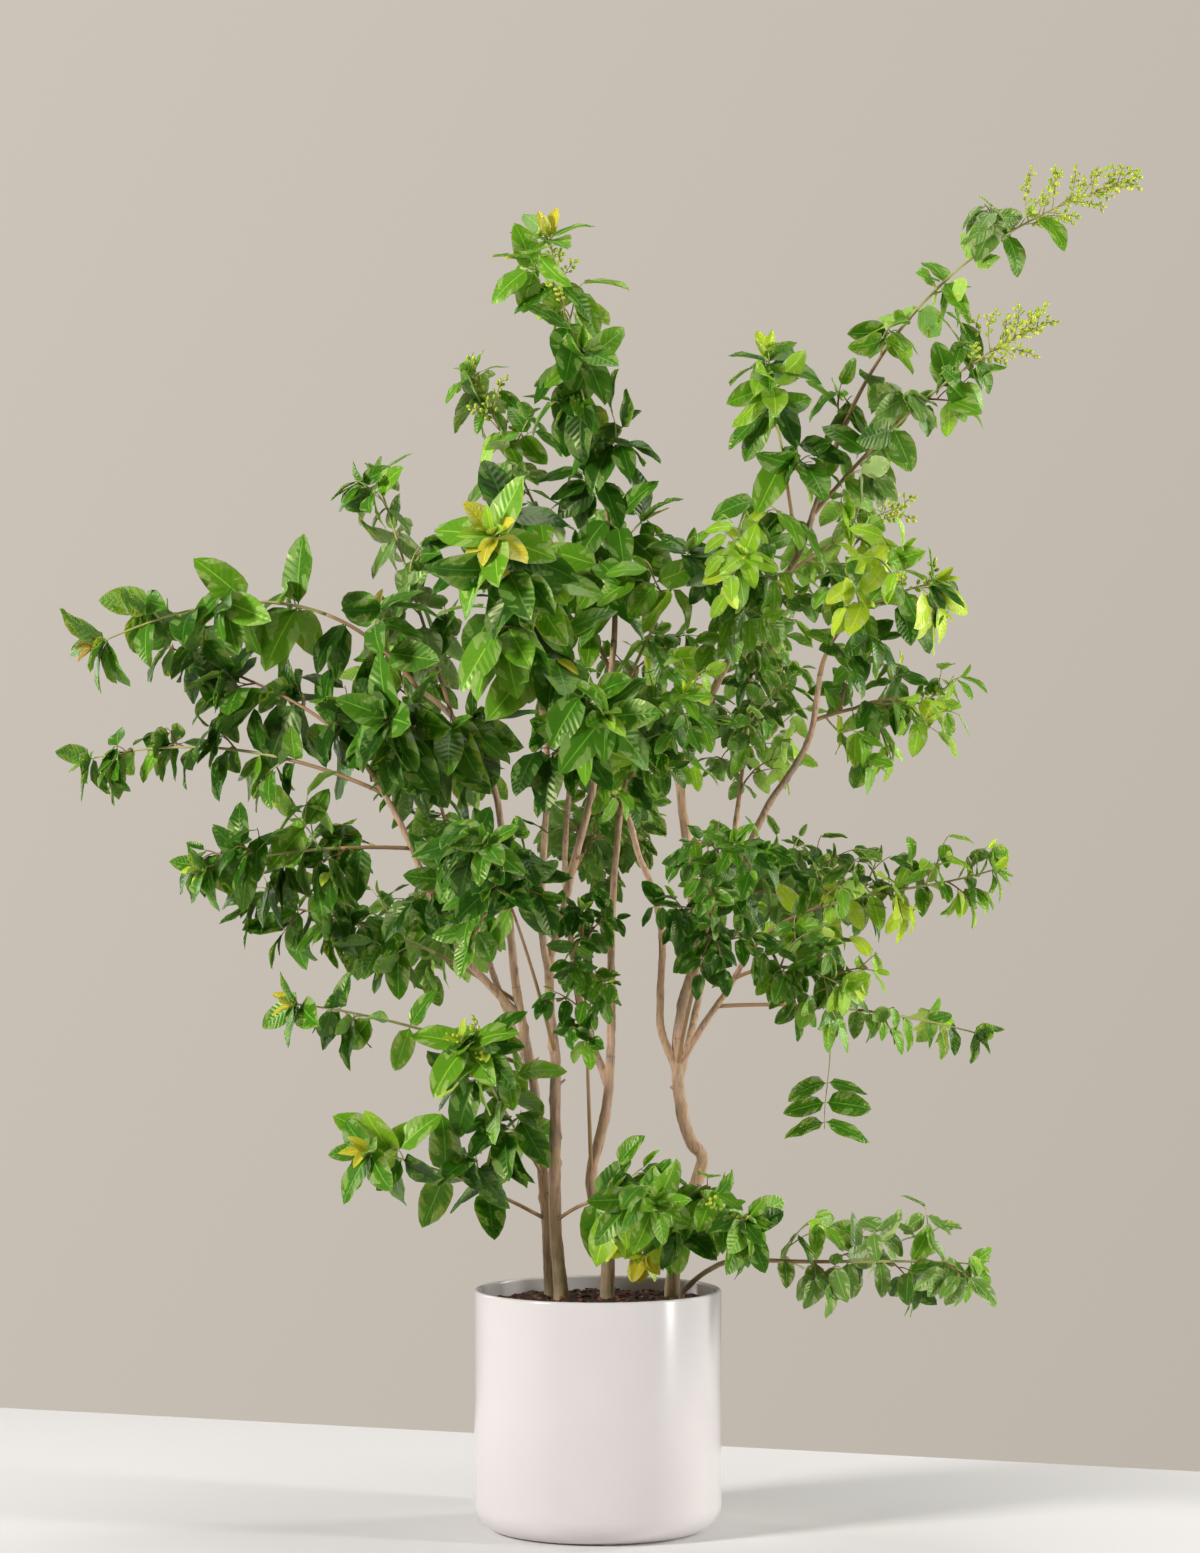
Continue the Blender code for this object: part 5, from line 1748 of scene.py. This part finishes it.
@dataclass
class Pot:
    """A plain white cylinder with a rounded lower edge and a thin rounded lip."""

    radius: float = 0.165
    height: float = 0.320
    wall: float = 0.007
    floor: float = 0.010
    corner: float = 0.036
    steps: int = 144

    def arc(self, centre: tuple[float, float], size: float, start: float, end: float,
            count: int) -> Array:
        """Points of the profile along an arc.

        Args:
            centre: The arc's middle, as (radius, height).
            size: The arc's own radius.
            start: The first point's angle in degrees.
            end: The last point's angle.
            count: How many points it has.

        Returns:
            Rows of (radius, height).
        """
        angles = np.radians(np.linspace(start, end, count))
        return np.stack([centre[0] + size * np.cos(angles), centre[1] + size * np.sin(angles)], -1)

    def profile(self) -> Array:
        """From the middle of the inner floor up over the lip, down the outside, to the foot."""
        inner = self.radius - self.wall
        turn = self.corner - self.wall
        lip = self.wall / 2
        return np.vstack([
            [[0, self.floor]],
            self.arc((inner - turn, self.floor + turn), turn, -90, 0, 9),
            self.arc((self.radius - lip, self.height - lip), lip, 180, 0, 13),
            self.arc((self.radius - self.corner, self.corner), self.corner, 0, -90, 17),
            [[0, 0]],
        ])

    def build(self) -> None:
        """Makes the pot: its profile turned about +Z.

        A point is (r cos(turn), r sin(turn), z) for each (r, z) of the profile, whose first and
        last points lie on the axis.
        """
        profile = self.profile()
        turn = full_turn(self.steps)
        far, high = profile[1:-1, 0:1], profile[1:-1, 1:2]
        rings = np.stack(np.broadcast_arrays(far * np.cos(turn), far * np.sin(turn), high), axis=-1)
        poles = [[0, 0, profile[0, 1]], [0, 0, profile[-1, 1]]]
        surface = Surface()
        surface.add(np.vstack([rings.reshape(-1, 3), poles]),
                    closed_faces(len(rings), self.steps, flipped=True), 0)
        surface.build("glazed_pot", [PotFinish().make()], "pot", ["pot"])


@dataclass
class Soil:
    """Potting mix with a crumbly top, and bark chips lying on it."""

    top: float = SOIL_TOP
    radius: float = 0.1566
    depth: float = 0.05
    level_drop: float = 0.0015
    mound: float = 0.004
    crumbs: tuple = ((0.045, 0.0010), (0.018, 0.0008), (0.009, 0.0006), (0.005, 0.0004))
    crumb_share: float = 0.7
    rings: int = 44
    steps: int = 150
    chips: int = 420
    chip_edge: float = 0.010
    chip_lift: float = 0.0008
    chip_tilt: float = 0.5
    chip_halves: tuple = ((0.0025, 0.0065), (0.0015, 0.0035), (0.0008, 0.0018))

    def height(self, x: Array, y: Array) -> Array:
        """The top's height: a low mound plus crumbs, which are sums of sines in x and y.

        Args:
            x: Places to the right of the middle.
            y: Places behind it.

        Returns:
            The height at each place.
        """
        rng = np.random.default_rng(7)
        far = np.hypot(x, y) / self.radius
        level = self.top - self.level_drop - self.mound * far**4
        for size, high in self.crumbs:
            for _ in range(5):
                angle, phase = rng.uniform(0, 2 * pi, 2)
                run = (x * np.cos(angle) + y * np.sin(angle)) * 2 * pi
                run = run / (size * rng.uniform(0.7, 1.4))
                level = level + high * np.sin(run + phase) * self.crumb_share
        return level

    def build(self) -> None:
        """Makes the potting mix and its chips."""
        far = np.linspace(0, 1, self.rings + 1)[1:, None] * self.radius
        turn = full_turn(self.steps)[None, :]
        x, y = far * np.cos(turn), far * np.sin(turn)
        top = np.stack([x, y, self.height(x, y)], -1)
        foot = top[-1:].copy()
        foot[..., 2] = self.top - self.depth
        poles = [[0, 0, self.height(np.zeros(1), np.zeros(1))[0]], [0, 0, self.top - self.depth]]
        surface = Surface()
        surface.add(np.vstack([np.concatenate([top, foot]).reshape(-1, 3), poles]),
                    closed_faces(self.rings + 1, self.steps, flipped=True), 0)
        self.add_chips(surface)
        finishes = (SoilFinish("moist potting mix", "#4A2F22", "#24150F", 4.0),
                    SoilFinish("bark chip, red-brown", "#7A4C35", "#4E2C1E", 6.0),
                    SoilFinish("bark chip, tan", "#966748", "#6B432C", 6.0),
                    SoilFinish("bark chip, dark", "#38231A", "#1C110C", 6.0))
        surface.build("potting_mix", [finish.make() for finish in finishes], "soil", ["soil"])

    def add_chips(self, surface: Surface) -> None:
        """Adds chips: small boxes with uneven corners, turned at random and half sunk.

        A corner is centre + turn (sx a, sy b, sz c), each sign +1 or -1, scaled 0.6 to 1.

        Args:
            surface: Where they go.
        """
        rng = np.random.default_rng(11)
        count = self.chips
        far = np.sqrt(rng.uniform(0, 1, count)) * (self.radius - self.chip_edge)
        turn = rng.uniform(0, 2 * pi, count)
        x, y = far * np.cos(turn), far * np.sin(turn)
        half = np.stack([rng.uniform(*sizes, count) for sizes in self.chip_halves], -1)
        signs = np.array([[i, j, k] for i in (-1, 1) for j in (-1, 1) for k in (-1, 1)])
        corners = signs[None] * half[:, None] * rng.uniform(0.6, 1.0, (count, 8, 1))
        yaw = rng.uniform(0, 2 * pi, count)
        tilt = rng.uniform(-self.chip_tilt, self.chip_tilt, count)
        along = np.stack([np.cos(yaw) * np.cos(tilt), np.sin(yaw) * np.cos(tilt), np.sin(tilt)], -1)
        side = np.stack([-np.sin(yaw), np.cos(yaw), np.zeros(count)], -1)
        axes = np.stack([along, side, np.cross(along, side)], axis=1)
        centre = np.stack([x, y, self.height(x, y) + self.chip_lift], -1)
        points = centre[:, None] + np.einsum("npk,nkj->npj", corners, axes)
        box = np.array([[0, 1, 3, 2], [4, 6, 7, 5], [0, 4, 5, 1],
                        [2, 3, 7, 6], [0, 2, 6, 4], [1, 5, 7, 3]])
        edges = np.array([[0, 1], [0, 2], [0, 4], [1, 3], [1, 5], [2, 3],
                          [2, 6], [3, 7], [4, 5], [4, 6], [5, 7], [6, 7]])
        kinds = np.repeat(rng.integers(1, 4, count), len(box))
        surface.add(points.reshape(-1, 3), [for_copies(box, count, 8)], [kinds],
                    for_copies(edges, count, 8))


# Studio


@dataclass(frozen=True)
class Lamp:
    """A soft rectangular light: its place, its width and height, its watts and its colour."""

    name: str
    place: tuple
    size: tuple
    power: float
    colour: str


@dataclass
class Studio:
    """A pale floor that ends at a slanting line, a warm background with painted light and shade,
    lights and camera.
    """

    edge_left: tuple = (-0.951, 1.155)
    edge_right: tuple = (0.870, 0.492)
    edge_reach: float = 6.0
    front: float = -9.0
    # the wall's two tones: painted light at the top left, painted shade at the bottom right
    wall_in_painted_light: str = "#D0C8BD"
    wall_in_painted_shade: str = "#B9B1A6"
    even_light: tuple = (0.130, 0.120, 0.108, 1.0)
    aim: tuple = (0, 0, 0.85)
    camera_place: tuple = (0.003, -6.05, 1.004)
    lens: float = 105.0
    lamps: tuple = (
        Lamp("key", (-3.65, -2.4, 2.5), (0.9, 0.9), 204, "#FFFDFB"),
        Lamp("right strip", (3.8, -1.4, 1.2), (0.42, 2.0), 96, "#FFFEFD"),
        Lamp("overhead", (0.1, 0.3, 4.3), (2.0, 2.0), 52, "#FFFFFF"),
        Lamp("left rim", (-3.0, 2.2, 1.8), (0.8, 1.6), 24, "#FFFFFA"),
        Lamp("right rim", (3.6, 1.3, 1.7), (0.8, 1.8), 66, "#FFFFF8"),
    )

    def lay_floor(self) -> None:
        """Lays the floor: a flat sheet from well in front to the slanting back line."""
        left, right = np.array(self.edge_left), np.array(self.edge_right)
        run = unit(right - left)
        far_left, far_right = left - run * self.edge_reach, right + run * self.edge_reach
        corners = [(far_left[0], self.front, 0), (far_right[0], self.front, 0),
                   (*far_right, 0), (*far_left, 0)]
        mesh = bpy.data.meshes.new("studio_floor")
        mesh.from_pydata(corners, [], [(0, 1, 2, 3)])
        mesh.materials.append(StudioFinish().make())
        in_scene("studio_floor", mesh)

    def hang(self, lamp: Lamp) -> None:
        """Hangs a light so that it looks at the middle of the plant."""
        data = bpy.data.lights.new(lamp.name, "AREA")
        data.shape = "RECTANGLE"
        data.size, data.size_y = lamp.size
        data.energy = lamp.power
        data.color = linear(lamp.colour)[:3]
        held = in_scene(lamp.name, data)
        held.location = lamp.place
        way = Vector(self.aim) - Vector(lamp.place)
        held.rotation_euler = way.to_track_quat("-Z", "Y").to_euler()

    def surround(self) -> None:
        """Gives the world the wall's colour, with painted light at the top left and painted shade
        towards the bottom right, and a dimmer even light.

        Seen straight on, the share of the painted shade is 0.52 + 1.5 x - 0.87 z of the line of
        sight. All other rays meet the even light.
        """
        world = bpy.data.worlds.new("studio background")
        bpy.context.scene.world = world
        world.use_nodes = True
        tree = world.node_tree
        sight = add_node(tree, "ShaderNodeTexCoord").outputs["Generated"]
        # painted light and shade: the wall grows darker from the top left to the bottom right
        run = add_node(tree, "ShaderNodeVectorMath", {0: sight, 1: (1.5, 0.0, -0.87)},
                       operation="DOT_PRODUCT")
        share = add_node(tree, "ShaderNodeMath", {0: run.outputs["Value"], 1: 0.52},
                         operation="ADD")
        wall = add_node(tree, "ShaderNodeMix",
                        {"Factor": share.outputs[0], "A": linear(self.wall_in_painted_light),
                         "B": linear(self.wall_in_painted_shade)}, data_type="RGBA")
        seen = add_node(tree, "ShaderNodeLightPath").outputs["Is Camera Ray"]
        colour = add_node(tree, "ShaderNodeMix",
                          {"Factor": seen, "A": self.even_light, "B": wall.outputs["Result"]},
                          data_type="RGBA")
        fill_sockets(tree, tree.nodes["Background"],
                     {"Color": colour.outputs["Result"], "Strength": 1.0})

    def set_camera(self) -> None:
        """Sets the camera at the photograph's viewpoint, level and looking along +Y."""
        lens = bpy.data.cameras.new("camera")
        lens.lens = self.lens
        lens.sensor_width = 36.0
        held = in_scene("camera", lens)
        held.location = self.camera_place
        held.rotation_euler = (radians(90), 0, 0)
        bpy.context.scene.camera = held

    def build(self) -> None:
        """Sets up the studio."""
        self.lay_floor()
        self.surround()
        for lamp in self.lamps:
            self.hang(lamp)
        self.set_camera()
        view = bpy.context.scene.view_settings
        view.view_transform = "Standard"
        view.exposure = 0.0


def main() -> None:
    """Builds the pot, the soil, the wood and the foliage, and then the studio round them."""
    logging.basicConfig(level=logging.INFO, format="%(message)s")
    Pot().build()
    Soil().build()
    limbs = StemsAndBoughs()
    limbs.lay_paths()
    limbs.build()
    Crown(limbs).build()
    Studio().build()


if __name__ == "__main__":
    main()
